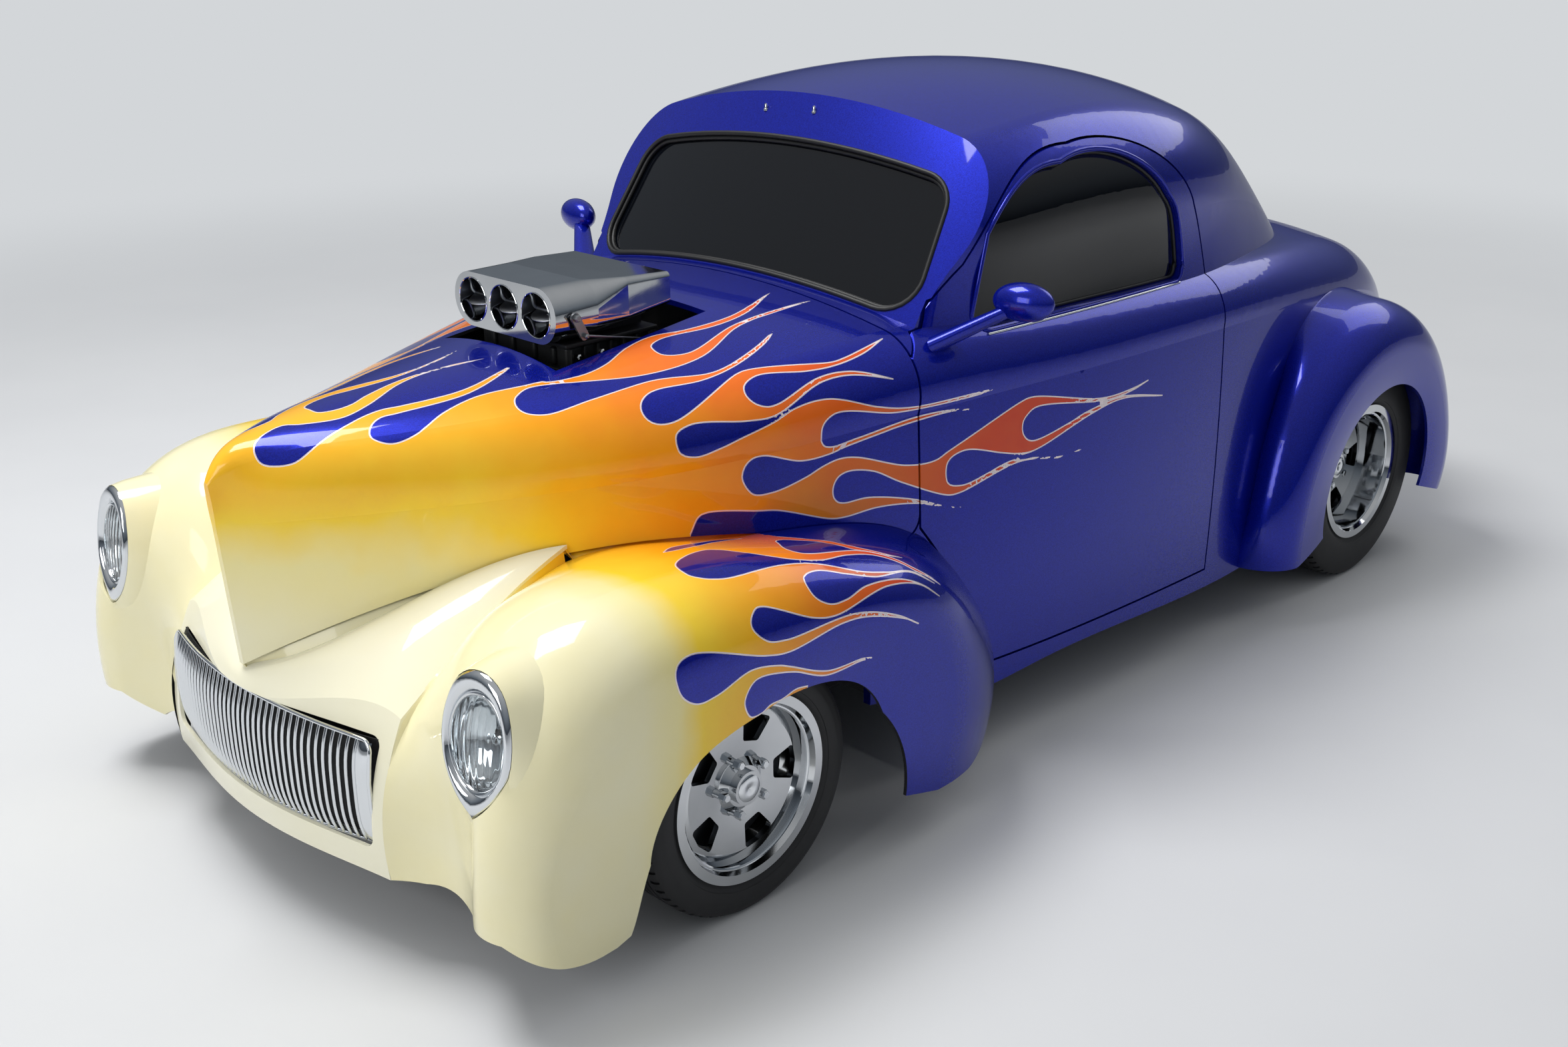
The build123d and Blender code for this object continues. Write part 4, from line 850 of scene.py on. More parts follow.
hoodChart = FlameChart(hoodFlames, nodeTree("hood", "door_left"))
fenderChart = FlameChart(fenderFlames, nodeTree("front_fender_left"))
paintPanel("hood", "hoodPaint", hoodChart, hoodWarmth, hoodOut, "hood", stoneGuard)
paintPanel("door_left", "doorPaintLeft", hoodChart, hoodWarmth, doorOut, "door_left", seatLeather,
           ("door_right", "doorPaintRight", "door_right"))
paintPanel("front_fender_left", "fenderPaintLeft", fenderChart, fenderWarmth, fenderOut, "body", stoneGuard,
           ("front_fender_right", "fenderPaintRight", "body"))
fillSeam("hoodSeat", *hoodSeatLines(), fenderWarmth)
fillSeam("noseSeam", *noseSeamLines(), fenderWarmth)
print("painted panels done")


# tyres

tyreSettings = {
    "steps": 180, "rimR": 211.0, "seatR": 192.4, "beadIn": 14.0, "grooveDeep": 7.0, "grooveHalf": 4.0,
    "front": {"radius": 288.0, "half": 70.0, "across": 766.0, "station": 0.0, "grooves": (-22, 0, 22)},
    "rear": {"radius": 334.0, "half": 145.0, "across": 676.0, "station": 2642.0, "grooves": (-84, -42, 0, 42, 84)},
    "sipeEvery": 3, "sipeDeep": 4.0,
}


def makeTyre(axle):
    spec, radius, half = tyreSettings[axle], tyreSettings[axle]["radius"], tyreSettings[axle]["half"]
    bead = half - tyreSettings["beadIn"]
    rim, deep, wide = tyreSettings["rimR"], tyreSettings["grooveDeep"], tyreSettings["grooveHalf"]
    wall = [
        (bead, tyreSettings["seatR"]), (bead, rim + 1), (bead + 3, rim + 6), (half - 6, rim + 12),
        (half - 5, rim + 15), (half - 3, rim + 16), (half - 0.5, rim + 26), (half, rim + 36),
        (half - 1, radius - 34), (half - 3, radius - 30), (half - 3.5, radius - 24), (half - 8, radius - 14),
        (half - 13, radius - 7), (half - 20, radius - 2.4), (half - 27, radius - 0.6),
    ]
    tread = [(half - 34, radius)]
    for place in sorted(spec["grooves"], reverse=True):
        tread += [(place + wide, radius), (place + wide - 1, radius - deep), (place - wide + 1, radius - deep),
                  (place - wide, radius)]
    tread.append((-half + 34, radius))
    profile = wall + tread + [(-across, r) for across, r in reversed(wall)]
    mesh = spinProfile(profile, tyreSettings["steps"])
    cuts = []
    for face in mesh.faces:
        middle = face.calc_center_median() * 1000
        turn = math.degrees(math.atan2(middle.y, middle.z)) % 360
        slot = int(turn / (360 / tyreSettings["steps"]))
        onShoulder = half - 34 < abs(middle.x) < half - 12 and math.hypot(middle.y, middle.z) > radius - 12
        if onShoulder and slot % tyreSettings["sipeEvery"] == 0:
            cuts.append(face)
    bmesh.ops.inset_region(mesh, faces=cuts, thickness=0.0006, depth=-tyreSettings["sipeDeep"] / 1000,
                           use_even_offset=True)
    bmesh.ops.translate(mesh, vec=at(spec["across"], spec["station"], radius), verts=mesh.verts)
    return mesh


for axle in ("front", "rear"):
    onBothSides(lambda: makeTyre(axle), axle + "Tyre", (tyreRubber,), "wheel_" + axle + "_{}",
                ("tyre_" + axle + "_{}",), 40)
print("tyres done")


# wheel details

wheelSettings = {
    "front": {"across": 766.0, "station": 0.0, "height": 288.0, "disc": 22.0, "half": 56.3, "brakeX": -26.0},
    "rear": {"across": 676.0, "station": 2642.0, "height": 334.0, "disc": 30.0, "half": 131.3, "brakeX": -24.0},
    "lugCircle": 62.0, "lugCount": 5, "nutR": 11.0, "nutLong": 16.0, "capR": 30.0,
    "brakeInner": 58.0, "brakeOuter": 152.0, "brakeThick": 17.0,
}


def addNut(mesh, x, y, z, radius, length):
    # a hexagon nut with a domed end, its seat at x
    made = bmesh.ops.create_cone(mesh, cap_ends=True, segments=6, radius1=radius / 1000, radius2=radius / 1000,
                                 depth=length / 1000, matrix=Matrix.Rotation(math.radians(90), 4, "Y"))
    faces = {face for vertex in made["verts"] for face in vertex.link_faces}
    tops = [face for face in faces if face.normal.x > 0.9]
    inset = bmesh.ops.inset_region(mesh, faces=tops, thickness=0.003, depth=0.003)
    verts = {vertex for face in faces | set(inset["faces"]) for vertex in face.verts}
    bmesh.ops.translate(mesh, vec=Vector((x + length / 2, y, z)) / 1000, verts=list(verts))


def makeWheelTrim(axle):
    spec = wheelSettings[axle]
    mesh = bmesh.new()
    for k in range(wheelSettings["lugCount"]):
        turn = math.radians(360 / wheelSettings["lugCount"] * (k + 0.5))
        y, z = wheelSettings["lugCircle"] * math.cos(turn), wheelSettings["lugCircle"] * math.sin(turn)
        addNut(mesh, spec["disc"] + 12, y, z, wheelSettings["nutR"], wheelSettings["nutLong"])
    disc, cap = spec["disc"], wheelSettings["capR"]
    rings = [
        [(disc + 30, 0.5), (disc + 34, cap * 0.4), (disc + 34, cap * 0.8), (disc + 31, cap), (disc + 29, cap),
         (disc + 29, 0.5)],
        [(spec["half"] + 2, 196), (spec["half"] + 3, 200), (spec["half"] + 1, 204), (spec["half"] - 3, 204),
         (spec["half"] - 3, 196)],
        [(spec["half"] - 8, 178), (spec["half"] - 6, 181), (spec["half"] - 6, 185), (spec["half"] - 12, 185),
         (spec["half"] - 12, 178)],
    ]
    for ring in rings:
        part = spinProfile(ring, 72)
        data = bpy.data.meshes.new("trimRing")
        part.to_mesh(data)
        part.free()
        mesh.from_mesh(data)
        bpy.data.meshes.remove(data)
    stem = bmesh.ops.create_cone(mesh, cap_ends=True, segments=12, radius1=0.005, radius2=0.0035, depth=0.03,
                                 matrix=Matrix.Translation(Vector((spec["half"] - 14, 0, 168)) / 1000)
                                 @ Matrix.Rotation(math.radians(70), 4, "Y"))
    rims = {edge for vertex in stem["verts"] for edge in vertex.link_edges if edge.calc_length() < 0.004}
    bmesh.ops.bevel(mesh, geom=list(rims), offset=0.0008, segments=1, affect="EDGES", profile=0.5, material=-1)
    bmesh.ops.translate(mesh, vec=at(spec["across"], spec["station"], spec["height"]), verts=mesh.verts)
    return mesh


def makeBrake(axle):
    spec = wheelSettings[axle]
    x, inner, outer = spec["brakeX"], wheelSettings["brakeInner"], wheelSettings["brakeOuter"]
    far = x + wheelSettings["brakeThick"]
    mesh = spinProfile([(x, inner), (x, outer), (x + 5, outer), (x + 7, outer - 6), (far - 7, outer - 6),
                        (far - 5, outer), (far, outer), (far, inner + 24), (far + 2, inner + 20), (far + 2, inner)], 90)
    bmesh.ops.translate(mesh, vec=at(spec["across"], spec["station"], spec["height"]), verts=mesh.verts)
    return mesh


for axle, brakeBody in (("front", "steer_{}"), ("rear", "body")):
    onBothSides(lambda: makeWheelTrim(axle), axle + "WheelTrim", (chromedSteel,), "wheel_" + axle + "_{}")
    onBothSides(lambda: makeBrake(axle), axle + "BrakeDisc", (turnedIron,), brakeBody)
print("wheels done")


# windows

screenSettings = {
    "rake": 33.8, "bow": 3100.0, "foot": (0, 751, 1161), "lowHalf": 566.0, "lowDrop": 34.0,
    "highHalf": 534.0, "height": 350.0, "highDrop": 36.0, "round": 88.0,
}


def onScreen(across, up, inset):
    rake = math.radians(screenSettings["rake"])
    bow = screenSettings["bow"]
    sink = bow - math.sqrt(bow * bow - across * across) + inset
    foot = screenSettings["foot"]
    return at(across, foot[1] + up * math.sin(rake) + sink * math.cos(rake),
              foot[2] + up * math.cos(rake) - sink * math.sin(rake))


def screenOutline():
    lowX, drop, highX = screenSettings["lowHalf"], screenSettings["lowDrop"], screenSettings["highHalf"]
    top, highZ = screenSettings["height"], screenSettings["height"] - screenSettings["highDrop"]
    low = arcThrough((-lowX, -drop), (0, 0), (lowX, -drop), 24)
    high = arcThrough((highX, highZ), (0, top), (-highX, highZ), 24)
    turn = screenSettings["round"]
    return (roundCorner((-highX, highZ), (-lowX, -drop), low[2], turn) + low[3:22]
            + roundCorner(low[22], (lowX, -drop), (highX, highZ), turn)
            + roundCorner((lowX, -drop), (highX, highZ), high[2], turn) + high[3:22]
            + roundCorner(high[22], (-highX, highZ), (-lowX, -drop), turn))


outline = screenOutline()
bead("screenSealOuter", [onScreen(u, v, 1) for u, v in grown(outline, 2)], 6.5, True, sealRubber, "body", "tyre_rubber")
bead("screenSealInner", [onScreen(u, v, 11) for u, v in grown(outline, -6)], 6.0, True, sealRubber, "body", "tyre_rubber")

doorWindow = (arcThrough((962, 1290), (1060, 1380), (1230, 1422), 10) + arcThrough((1230, 1422), (1480, 1412), (1640, 1300), 16)
              + arcThrough((1640, 1300), (1725, 1190), (1748, 1068), 10)
              + roundCorner((1725, 1190), (1748, 1068), (938, 1068), 30)
              + [(1748 - 80 * k, 1068) for k in range(1, 10)]
              + roundCorner((1748, 1068), (938, 1068), (962, 1290), 30))
doorTree = nodeTree("door_left")
paneTree = nodeTree("door_glass_left")
shellTree = nodeTree("body_shell", "deck_lid")


def castOutline(points, tree, start, aim, proud):
    # an outline of pairs laid on a skin by casting along one direction
    spots = []
    for pair in points:
        hit = castOn(tree, start(*pair), aim)
        if hit is not None:
            spots.append(hit - aim * proud / 1000)
    return spots


sideAim = Vector((-1, 0, 0))
reveal = castOutline(grown(doorWindow, 7), doorTree, lambda y, z: at(1100, y, z), sideAim, 0.5)
beadOnBothSides("windowReveal", reveal, 5.5, True, bluePaint, "door_{}", "body_paint")
channel = castOutline(grown(doorWindow, -4), paneTree, lambda y, z: at(1100, y, z), sideAim, 1)
beadOnBothSides("windowChannel", channel, 4.5, True, sealRubber, "door_{}", "tyre_rubber")
strip = castOutline([(950 + 39 * k, 1058) for k in range(21)], doorTree, lambda y, z: at(1100, y, z), sideAim, 1.5)
beadOnBothSides("windowStrip", strip, 3.2, False, chromedSteel, "door_{}", "chrome_bars")

rearHalf, rearTall, rearZ = 320, 102.5, 1180
rearCorners = [(-rearHalf, rearZ - rearTall), (rearHalf, rearZ - rearTall), (rearHalf, rearZ + rearTall), (-rearHalf, rearZ + rearTall)]
rearOutline = []
for k in range(4):
    rearOutline += roundCorner(rearCorners[k - 1], rearCorners[k], rearCorners[(k + 1) % 4], 90, 10)
rearAim = Vector((0, -1, 0))
rearSeal = castOutline(grown(rearOutline, 6), shellTree, lambda x, z: at(x, 3900, z), rearAim, 1)
bead("rearWindowSeal", rearSeal, 9, True, sealRubber, "body", "tyre_rubber")
lampRing = [(330 + 40 * math.cos(k * math.pi / 16), 600 + 52 * math.sin(k * math.pi / 16)) for k in range(32)]
ringSpots = castOutline(lampRing, shellTree, lambda x, z: at(x, 3900, z), rearAim, 2)
beadOnBothSides("tailLampRing", ringSpots, 5, True, chromedSteel, "body", "chrome_bars")
print("windows done")


# headlights

lampSettings = {
    "spot": (733, -604, 590), "facing": (0.10, -0.985, 0.14), "wide": 76.0, "tall": 96.0,
    "bowl": [(-8, 0.985), (-14, 0.985), (-15, 0.93), (-21, 0.92), (-22, 0.86), (-30, 0.82), (-44, 0.62), (-54, 0.36), (-57, 0.16)],
    "glass": [(6.5, 0.001), (5.2, 0.35), (2.0, 0.7), (-3.0, 0.985), (-7.0, 0.985), (-5.0, 0.93), (-1.6, 0.68), (1.6, 0.35), (2.8, 0.001)],
    "bezelRings": [(0.0, -40), (0.0, -2), (0.06, 5), (0.2, 10), (0.42, 11), (0.62, 8), (0.74, 3), (0.8, -1), (0.82, 2),
                   (0.87, 4), (0.93, 3), (0.97, -1), (1.0, -8), (1.0, -16)],
    "bezelWide": 92.0, "bezelTop": 141.0, "bezelTip": 149.0, "collarAt": 0.0, "collarSteps": (24,),
    "bulb": [(-30, 0.001), (-32, 0.07), (-38, 0.11), (-46, 0.09), (-58, 0.07), (-58, 0.001)],
}


def lampMatrix():
    facing = Vector(lampSettings["facing"]).normalized()
    across = (Vector((1, 0, 0)) - facing * facing.x).normalized()
    up = facing.cross(across)
    spin = Matrix((facing, across, up)).transposed().to_4x4()  # local X looks out of the lamp
    return Matrix.Translation(at(*lampSettings["spot"])) @ spin


def makeLampPart(profile, closed, wide=None, tall=None):
    mesh = spinProfile([(along, radius * 1000) for along, radius in profile], 72, closed)
    bmesh.ops.scale(mesh, vec=(1, (wide or lampSettings["wide"]) / 1000, (tall or lampSettings["tall"]) / 1000), verts=mesh.verts)
    bmesh.ops.transform(mesh, matrix=lampMatrix(), verts=mesh.verts)
    return mesh


onBothSides(lambda: makeLampPart(lampSettings["bowl"], False), "lampReflector", (chromedSteel,), "body")
onBothSides(lambda: makeLampPart(lampSettings["bulb"], True, 90, 90), "lampBulb", (silveredGlass,), "body")
onBothSides(lambda: makeLampPart(lampSettings["glass"], True), "lampGlass", (flutedGlass,), "body",
            ("headlight_lens_{}",))


def lampOutline(grow):
    # the bezel's outline, rounded above and pointed below, in the lamp's own plane
    wide, top, tip = lampSettings["bezelWide"], lampSettings["bezelTop"], lampSettings["bezelTip"]
    turnX, turnY = wide * 0.815, top * 0.638
    points = (arcThrough((turnX, turnY), (0, top), (-turnX, turnY), 12)
              + arcThrough((-turnX, turnY), (-wide * 0.97, turnY * 0.45), (-wide, 0), 6)
              + arcThrough((-wide, 0), (-wide * 0.68, -tip * 0.62), (0, -tip), 10)
              + arcThrough((0, -tip), (wide * 0.68, -tip * 0.62), (wide, 0), 10)
              + arcThrough((wide, 0), (wide * 0.97, turnY * 0.45), (turnX, turnY), 6))
    return grown(points, grow)


def makeFairing():
    # a painted collar from the fender's skin up to the bezel
    mesh = bmesh.new()
    warmLayer = mesh.verts.layers.float.new("warmth")
    edgeLayer = mesh.verts.layers.float.new("flameEdge")
    fenderTree = nodeTree("front_fender_left")
    place = lampMatrix()
    aim = (place.to_3x3() @ Vector((-1, 0, 0))).normalized()
    rings = [[place @ (Vector((lampSettings["collarAt"], u, v)) / 1000) for u, v in lampOutline(0.6)]]
    for grow in lampSettings["collarSteps"]:
        ring = []
        for (u, v), inner in zip(lampOutline(grow), rings[0]):
            start = place @ (Vector((200, u, v)) / 1000)
            hit = castOn(fenderTree, start, aim)
            ring.append(hit if hit is not None and (hit - inner).length < 0.14 else None)
        rings.append(ring)
    outerRing = []
    for k, spot in enumerate(rings[-1]):
        if spot is None:
            spot = fenderTree.find_nearest(rings[0][k])[0]
        outerRing.append(spot)
    middleRing = []
    for inner, outer in zip(rings[0], outerRing):
        down = (outer - inner)
        middleRing.append(inner + down * 0.42 - aim * down.length * 0.10)
    loops = []
    for ring in (rings[0], middleRing, [spot + aim * 0.0015 for spot in outerRing]):
        knots = [mesh.verts.new(spot) for spot in ring]
        loops.append([mesh.edges.new(pair) for pair in zip(knots, knots[1:] + knots[:1])])
    for first, second in zip(loops, loops[1:]):
        bmesh.ops.bridge_loops(mesh, edges=first + second)
    bmesh.ops.recalc_face_normals(mesh, faces=mesh.faces)
    if sum(face.normal.dot(aim) for face in mesh.faces) > 0:
        bmesh.ops.reverse_faces(mesh, faces=mesh.faces)
    for vertex in mesh.verts:
        vertex[edgeLayer] = 60.0
        vertex[warmLayer] = 0.1
    return mesh


def makeBezel():
    # the bezel's rounded ring with a stepped inner ring round the glass
    mesh = bmesh.new()
    place = lampMatrix()
    outline = lampOutline(0)
    loops = []
    for inward, depth in lampSettings["bezelRings"]:
        knots = []
        for u, v in outline:
            turn = math.atan2(v / lampSettings["tall"], u / lampSettings["wide"])
            glass = Vector((lampSettings["wide"] * math.cos(turn), lampSettings["tall"] * math.sin(turn))) * 0.94
            spot = Vector((u, v)).lerp(glass, inward)
            knots.append(mesh.verts.new(place @ (Vector((depth, *spot)) / 1000)))
        loops.append([mesh.edges.new(pair) for pair in zip(knots, knots[1:] + knots[:1])])
    for first, second in zip(loops, loops[1:]):
        bmesh.ops.bridge_loops(mesh, edges=first + second)
    aim = place.to_3x3() @ Vector((1, 0, 0))
    bmesh.ops.recalc_face_normals(mesh, faces=mesh.faces)
    if sum(face.normal.dot(aim) * face.calc_area() for face in mesh.faces) < 0:
        bmesh.ops.reverse_faces(mesh, faces=mesh.faces)
    return mesh


onBothSides(makeBezel, "lampBezel", (chromedSteel,), "body", ("headlight_{}",), 50)
onBothSides(makeFairing, "lampFairing", (flamePaint,), "body")
print("headlights done")


# grille backing, scoop trim, mirrors

grilleSettings = {"half": 396.0, "low": 254.0, "high": 478.0, "station": -672.0, "bow": 62.0}


def makeScreen():
    mesh = bmesh.new()
    bmesh.ops.create_grid(mesh, x_segments=24, y_segments=4, size=0.5)
    half, bow = grilleSettings["half"], grilleSettings["bow"]
    for vertex in mesh.verts:
        x, z = vertex.co.x * 2 * half, grilleSettings["low"] + (vertex.co.y + 0.5) * (grilleSettings["high"] - grilleSettings["low"])
        vertex.co = at(x, grilleSettings["station"] + bow * (x / half) ** 2, z)
    bmesh.ops.recalc_face_normals(mesh, faces=mesh.faces)
    bmesh.ops.solidify(mesh, geom=mesh.faces[:], thickness=0.002)
    return mesh


finishPiece(makeScreen(), "grilleScreen", (screenMesh,), "body")

barSettings = {
    "half": 400.0, "low": 250.0, "high": 480.0, "front": -704.0, "bow": 62.0, "bulge": 17.0, "count": 37,
    "radius": 4.3, "knots": 14, "endHalf": 18.0, "barInset": 3.0, "barRise": 9.0, "rimRadius": 4.5,
    "rimCorner": 26.0, "rimRise": 10.0, "endCrown": 5.0, "endThick": 2.0,
}


def onGrille(x, z, proud=0.0):
    # the bowed and bulged front of the grille
    spec = barSettings
    middle, reach = (spec["low"] + spec["high"]) / 2, (spec["high"] - spec["low"]) / 2
    part = min(1.0, abs(z - middle) / reach)
    fall = spec["bulge"] * (part ** 3.2)
    return at(x, spec["front"] + spec["bow"] * (x / spec["half"]) ** 2 + fall - proud, z)


def manyBeads(name, lines, radius, closed, material, body):
    # one piece from many round bars, made a mesh so that its box is its own
    path = roundBars(name + "Path", lines, radius, closed)
    route = bpy.data.objects.new(name + "Path", path)
    data = bpy.data.meshes.new_from_object(route)
    bpy.data.objects.remove(route)
    bpy.data.curves.remove(path)
    data.materials.clear()
    return placePiece(name, data, material, body)


def barLines():
    spec = barSettings
    lines = []
    for k in range(spec["count"]):
        x = (spec["half"] - 2 * spec["endHalf"]) * (2 * k / (spec["count"] - 1) - 1)
        low = spec["low"] + spec["barInset"]
        tall = spec["high"] + spec["barRise"] * (1 - (x / spec["half"]) ** 2) - spec["low"] - 2 * spec["barInset"]
        lines.append([onGrille(x, low + tall * i / spec["knots"]) for i in range(spec["knots"] + 1)])
    return lines


def frameLine():
    spec = barSettings
    half, low, high, corner = (spec[key] for key in ("half", "low", "high", "rimCorner"))
    corners = [(-half, low), (half, low), (half, high), (-half, high)]
    points = []
    for k in range(4):
        points += roundCorner(corners[k - 1], corners[k], corners[(k + 1) % 4], corner, 8)
        start, end = points[-1], corners[(k + 1) % 4]
        count = 20 if k in (0, 2) else 3
        ahead = Vector(end) - Vector(start)
        reach = ahead.length - corner
        for i in range(1, count):
            spot = Vector(start) + ahead.normalized() * reach * i / count
            rise = spec["rimRise"] * (1 - (spot.x / half) ** 2) if k == 2 else 0
            points.append((spot.x, spot.y + rise))
    return [onGrille(x, z) for x, z in points]


manyBeads("grilleBars", barLines(), barSettings["radius"], False, chromedSteel, "body")
bead("grilleRim", frameLine(), barSettings["rimRadius"], True, chromedSteel, "body", "chrome_bars")


def makeGrilleEnd():
    # the broad bright end of the grille, rounded over its height
    spec = barSettings
    mesh = bmesh.new()
    bmesh.ops.create_grid(mesh, x_segments=6, y_segments=24, size=0.5)
    for vertex in mesh.verts:
        across = spec["half"] - spec["endHalf"] + vertex.co.x * 2 * spec["endHalf"]
        z = (spec["low"] + spec["high"]) / 2 + vertex.co.y * (spec["high"] - spec["low"] - 6)
        crown = spec["endCrown"] * (1 - (2 * vertex.co.x) ** 2)
        vertex.co = onGrille(across, z, crown)
    bmesh.ops.recalc_face_normals(mesh, faces=mesh.faces)
    if sum(face.normal.y for face in mesh.faces) > 0:
        bmesh.ops.reverse_faces(mesh, faces=mesh.faces)
    bmesh.ops.solidify(mesh, geom=mesh.faces[:], thickness=spec["endThick"] / 1000)
    return mesh


onBothSides(makeGrilleEnd, "grilleEnd", (chromedSteel,), "body")
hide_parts("grille")

scoopSettings = {"station": 45.0, "height": 1172.0, "holeR": 50.0, "pitch": 116.0, "holes": 3, "half": 187.0}


def joinParts(parts):
    # several finished forms in one mesh
    mesh = bmesh.new()
    for part in parts:
        data = bpy.data.meshes.new("part")
        part.to_mesh(data)
        part.free()
        mesh.from_mesh(data)
        bpy.data.meshes.remove(data)
    return mesh


def makeScoopRims():
    # the thin bright edge round each of the three mouths
    radius, rings = scoopSettings["holeR"], []
    for k in range(scoopSettings["holes"]):
        x = (k - 1) * scoopSettings["pitch"]
        ring = spinProfile([(-1, radius - 0.6), (1.6, radius - 0.4), (2.4, radius + 0.8), (1.6, radius + 2.0),
                            (-1, radius + 2.2)], 72)
        bmesh.ops.rotate(ring, cent=(0, 0, 0), matrix=Matrix.Rotation(math.radians(-90), 3, "Z"), verts=ring.verts)
        bmesh.ops.translate(ring, vec=at(x, scoopSettings["station"] + 0.5, scoopSettings["height"]), verts=ring.verts)
        rings.append(ring)
    return joinParts(rings)


def makeButterflies():
    # open throttle plates on their shaft, with the two screws that hold each
    parts = [spinProfile([(-201, 0.3), (-201, 4), (-199, 5), (199, 5), (201, 4), (201, 0.3)], 24)]
    for k in range(scoopSettings["holes"]):
        x = (k - 1) * scoopSettings["pitch"]
        plate = spinProfile([(-1.2, 0.3), (-1.2, 47.5), (-0.6, 48.5), (0.6, 48.5), (1.2, 47.5), (1.2, 0.3)], 64)
        bmesh.ops.rotate(plate, cent=(0, 0, 0), matrix=Matrix.Rotation(math.radians(90), 3, "Y"), verts=plate.verts)
        for side in (-14, 14):
            addNut(plate, 1.0, side, 0, 3.5, 3)
        bmesh.ops.rotate(plate, cent=(0, 0, 0), matrix=Matrix.Rotation(math.radians(14), 3, "X"), verts=plate.verts)
        bmesh.ops.translate(plate, vec=Vector((x, 0, 0)) / 1000, verts=plate.verts)
        parts.append(plate)
    mesh = joinParts(parts)
    bmesh.ops.translate(mesh, vec=at(0, scoopSettings["station"] + 46, scoopSettings["height"]), verts=mesh.verts)
    return mesh


injectorSettings = {
    "half": 168.0, "front": 84.0, "rear": 352.0, "low": 1030.0, "top": 1096.0, "flange": 10.0, "ribs": 7,
    "ribThick": 7.0, "boltR": 6.5,
}


def boxPart(x0, x1, y0, y1, z0, z1, soft):
    mesh = bmesh.new()
    bmesh.ops.create_cube(mesh, size=1.0)
    bmesh.ops.scale(mesh, vec=Vector((x1 - x0, y1 - y0, z1 - z0)) / 1000, verts=mesh.verts)
    bmesh.ops.translate(mesh, vec=at((x0 + x1) / 2, (y0 + y1) / 2, (z0 + z1) / 2), verts=mesh.verts)
    bmesh.ops.bevel(mesh, geom=mesh.edges[:], offset=soft / 1000, segments=3, affect="EDGES", profile=0.5, material=-1)
    return mesh


def makeInjector():
    # the cast body between blower and scoop, ribbed on its sides, under a bolted flange
    half, front, rear = injectorSettings["half"], injectorSettings["front"], injectorSettings["rear"]
    low, top = injectorSettings["low"], injectorSettings["top"]
    parts = [boxPart(-half + 14, half - 14, front + 12, rear - 12, low, top, 9),
             boxPart(-half, half, front, rear, top, top + injectorSettings["flange"], 3),
             boxPart(-half - 4, half + 4, front - 6, rear + 4, low + 4, low + 20, 4)]
    step = (rear - front - 40) / (injectorSettings["ribs"] - 1)
    for k in range(injectorSettings["ribs"]):
        y = front + 20 + step * k
        parts.append(boxPart(-half + 4, half - 4, y - injectorSettings["ribThick"] / 2,
                             y + injectorSettings["ribThick"] / 2, low + 18, top - 2, 2.5))
    for x in (-110, -40, 40, 110):
        parts.append(boxPart(x - 9, x + 9, front + 2, front + 24, low + 22, top - 4, 6))
    return joinParts(parts)


def makeInjectorBolts():
    # flange bolts, four along each side
    mesh = bmesh.new()
    half, front, rear = injectorSettings["half"], injectorSettings["front"], injectorSettings["rear"]
    level = injectorSettings["top"] - 22
    for side in (-1, 1):
        for k in range(4):
            y = front + 34 + (rear - front - 68) * k / 3
            before = set(mesh.verts)
            addNut(mesh, half - 6, y - axleToMiddle, level, injectorSettings["boltR"], 9)
            if side < 0:
                fresh = [v for v in mesh.verts if v not in before]
                bmesh.ops.scale(mesh, vec=(-1, 1, 1), verts=fresh)
                bmesh.ops.reverse_faces(mesh, faces=list({f for v in fresh for f in v.link_faces}))
    return mesh


def makeLinkage():
    # lever and clamp bolts at the left end of the butterfly shaft
    mesh = bmesh.new()
    shaft = at(scoopSettings["half"] + 9, scoopSettings["station"] + 46, scoopSettings["height"])
    plate = bmesh.ops.create_cube(mesh, size=1.0)["verts"]
    bmesh.ops.scale(mesh, vec=(0.006, 0.022, 0.07), verts=plate)
    bmesh.ops.bevel(mesh, geom=[e for e in mesh.edges if abs(e.verts[0].co.x - e.verts[1].co.x) > 0.003],
                    offset=0.0095, segments=5, affect="EDGES", profile=0.5, material=-1)
    bmesh.ops.translate(mesh, vec=(0, 0, -0.024), verts=mesh.verts)
    bmesh.ops.rotate(mesh, cent=(0, 0, 0), matrix=Matrix.Rotation(math.radians(28), 3, "X"), verts=mesh.verts)
    bmesh.ops.translate(mesh, vec=shaft, verts=mesh.verts)
    here = (shaft + Vector((0.003, 0, 0))) * 1000
    addNut(mesh, here.x, here.y, here.z, 9, 8)
    low = here + Vector((0, 23, -44))
    addNut(mesh, low.x, low.y, low.z, 6, 8)
    return mesh


finishPiece(makeScoopRims(), "scoopRims", (chromedSteel,), "body")
finishPiece(makeButterflies(), "throttlePlates", (brushedSteel,), "body", ("scoop_butterflies",))
finishPiece(makeInjector(), "injectorBody", (blackCasting,), "body")
finishPiece(makeInjectorBolts(), "injectorBolts", (chromedSteel,), "body")
finishPiece(makeLinkage(), "scoopLinkage", (brushedSteel,), "body")
rodTop = at(scoopSettings["half"] + 12, scoopSettings["station"] + 70, scoopSettings["height"] - 44)
rodFoot = at(160, 330, 1075)
bead("throttleRod", [rodTop.lerp(rodFoot, k / 6) for k in range(7)], 3, False, brushedSteel, "body", "steel_plate")

mirrorSettings = {"spot": (800, 900, 1165), "turn": 12.0, "half": (75, 40, 45), "glassFrom": 0.62}


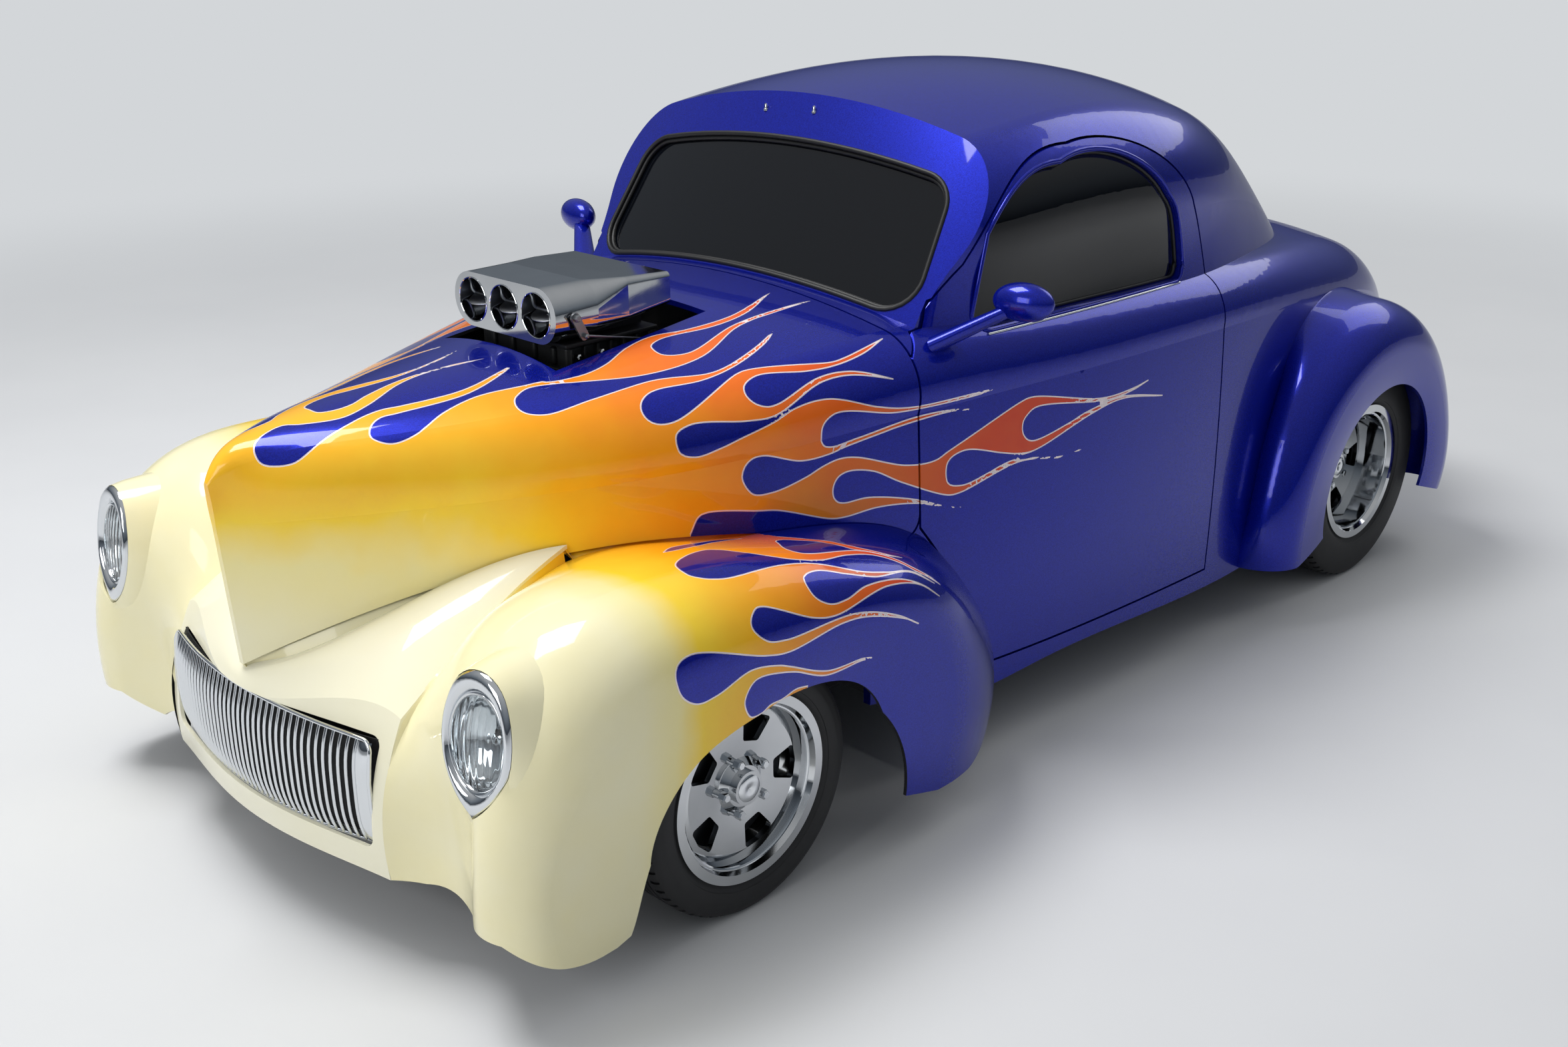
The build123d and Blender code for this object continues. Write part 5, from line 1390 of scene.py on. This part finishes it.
def makeMirrorGlass():
    mesh = bmesh.new()
    bmesh.ops.create_uvsphere(mesh, u_segments=64, v_segments=48, radius=1.0)
    bmesh.ops.rotate(mesh, cent=(0, 0, 0), matrix=Matrix.Rotation(math.radians(-90), 3, "X"), verts=mesh.verts)
    bmesh.ops.bisect_plane(mesh, geom=mesh.verts[:] + mesh.edges[:] + mesh.faces[:],
                           plane_co=(0, mirrorSettings["glassFrom"], 0), plane_no=(0, 1, 0), clear_inner=True)
    half = [value * 1.012 / 1000 for value in mirrorSettings["half"]]
    bmesh.ops.scale(mesh, vec=half, verts=mesh.verts)
    bmesh.ops.rotate(mesh, cent=(0, 0, 0), matrix=Matrix.Rotation(math.radians(mirrorSettings["turn"]), 3, "Z"), verts=mesh.verts)
    bmesh.ops.translate(mesh, vec=at(*mirrorSettings["spot"]), verts=mesh.verts)
    return mesh


onBothSides(makeMirrorGlass, "mirrorGlass", (silveredGlass,), "door_{}")
print("trim done")


# seat

seatSettings = {
    "half": 548.0, "front": 1430.0, "rear": 1890.0, "floor": 222.0, "top": 424.0,
    "backTall": 520.0, "backThick": 96.0, "lean": 16.0, "backAt": (0, 1930, 642),
    "voxel": 0.009, "pressure": 4.0, "cap": 0.016, "pleats": 14, "pleatDeep": 9.0,
}


def swell(piece, cap):
    # inflate a closed form a little, as a filled cushion is
    start = [v.co.copy() for v in piece.data.vertices]
    cloth = piece.modifiers.new("fill", "CLOTH")
    cloth.settings.use_pressure = True
    cloth.settings.uniform_pressure_force = seatSettings["pressure"]
    cloth.settings.effector_weights.gravity = 0
    scene = bpy.context.scene
    for step in range(1, 21):
        scene.frame_set(step)
    shaped = piece.evaluated_get(bpy.context.evaluated_depsgraph_get()).to_mesh()
    ends = [v.co.copy() for v in shaped.vertices]
    piece.evaluated_get(bpy.context.evaluated_depsgraph_get()).to_mesh_clear()
    piece.modifiers.remove(cloth)
    scene.frame_set(1)
    for vertex, before, after in zip(piece.data.vertices, start, ends):
        move = after - before
        if move.length > cap:
            move = move.normalized() * cap
        vertex.co = before + move


def makeCushion(name, size, place, pleatAxis, replaced=()):
    mesh = bmesh.new()
    bmesh.ops.create_cube(mesh, size=1.0)
    bmesh.ops.scale(mesh, vec=Vector(size) / 1000, verts=mesh.verts)
    bmesh.ops.bevel(mesh, geom=mesh.edges[:], offset=0.028, segments=4, affect="EDGES", profile=0.5, material=-1)
    piece = finishPiece(mesh, name, (seatLeather,), "body", replaced)
    remesh = piece.modifiers.new("skin", "REMESH")
    remesh.mode = "VOXEL"
    remesh.voxel_size = seatSettings["voxel"]
    evaluated = piece.evaluated_get(bpy.context.evaluated_depsgraph_get())
    fine = bpy.data.meshes.new_from_object(evaluated)
    piece.modifiers.remove(remesh)
    piece.data = fine
    swell(piece, seatSettings["cap"])
    wide = size[0] / 1000
    for vertex in piece.data.vertices:
        normal = vertex.normal
        face = max(0.0, normal.z if pleatAxis == "z" else -normal.y)
        phase = (vertex.co.x / wide + 0.5) * seatSettings["pleats"]
        edge = max(0.0, 1 - (abs(vertex.co.x) / (wide / 2)) ** 12)
        crease = 1 - abs(math.sin(math.pi * phase)) ** 0.45
        vertex.co -= normal * crease * face * edge * seatSettings["pleatDeep"] / 1000
    piece.data.transform(place)
    finer = piece.modifiers.new("smooth", "SUBSURF")
    finer.levels = finer.render_levels = 1
    piece.data.shade_smooth()
    return piece


baseSize = (2 * seatSettings["half"], seatSettings["rear"] - seatSettings["front"], seatSettings["top"] - seatSettings["floor"])
baseAt = Matrix.Translation(at(0, (seatSettings["front"] + seatSettings["rear"]) / 2, (seatSettings["floor"] + seatSettings["top"]) / 2))
makeCushion("seatCushion", baseSize, baseAt, "z", ("seat",))
backSize = (2 * seatSettings["half"], seatSettings["backThick"], seatSettings["backTall"])
backAt = Matrix.Translation(at(*seatSettings["backAt"])) @ Matrix.Rotation(math.radians(-seatSettings["lean"]), 4, "X")
makeCushion("seatBack", backSize, backAt, "y")
print("seat done")

studSettings = {
    "spots": [(-113, 987), (56, 990)],
    "profile": [(-3, 0.3), (-3, 6.5), (2, 6.5), (3, 4.5), (12, 4.5), (14.5, 3), (15.5, 0.3)],
}


def makeRoofStuds():
    # two small domed studs standing above the windshield
    tree = nodeTree("body_shell")
    studs = []
    for x, y in studSettings["spots"]:
        seat = castOn(tree, at(x, y, 1700), Vector((0, 0, -1)))
        stud = spinProfile(studSettings["profile"], 24)
        bmesh.ops.rotate(stud, cent=(0, 0, 0), matrix=Matrix.Rotation(math.radians(-90), 3, "Y"), verts=stud.verts)
        bmesh.ops.translate(stud, vec=seat, verts=stud.verts)
        studs.append(stud)
    return joinParts(studs)


finishPiece(makeRoofStuds(), "roofStuds", (chromedSteel,), "body")
print("roof studs done")
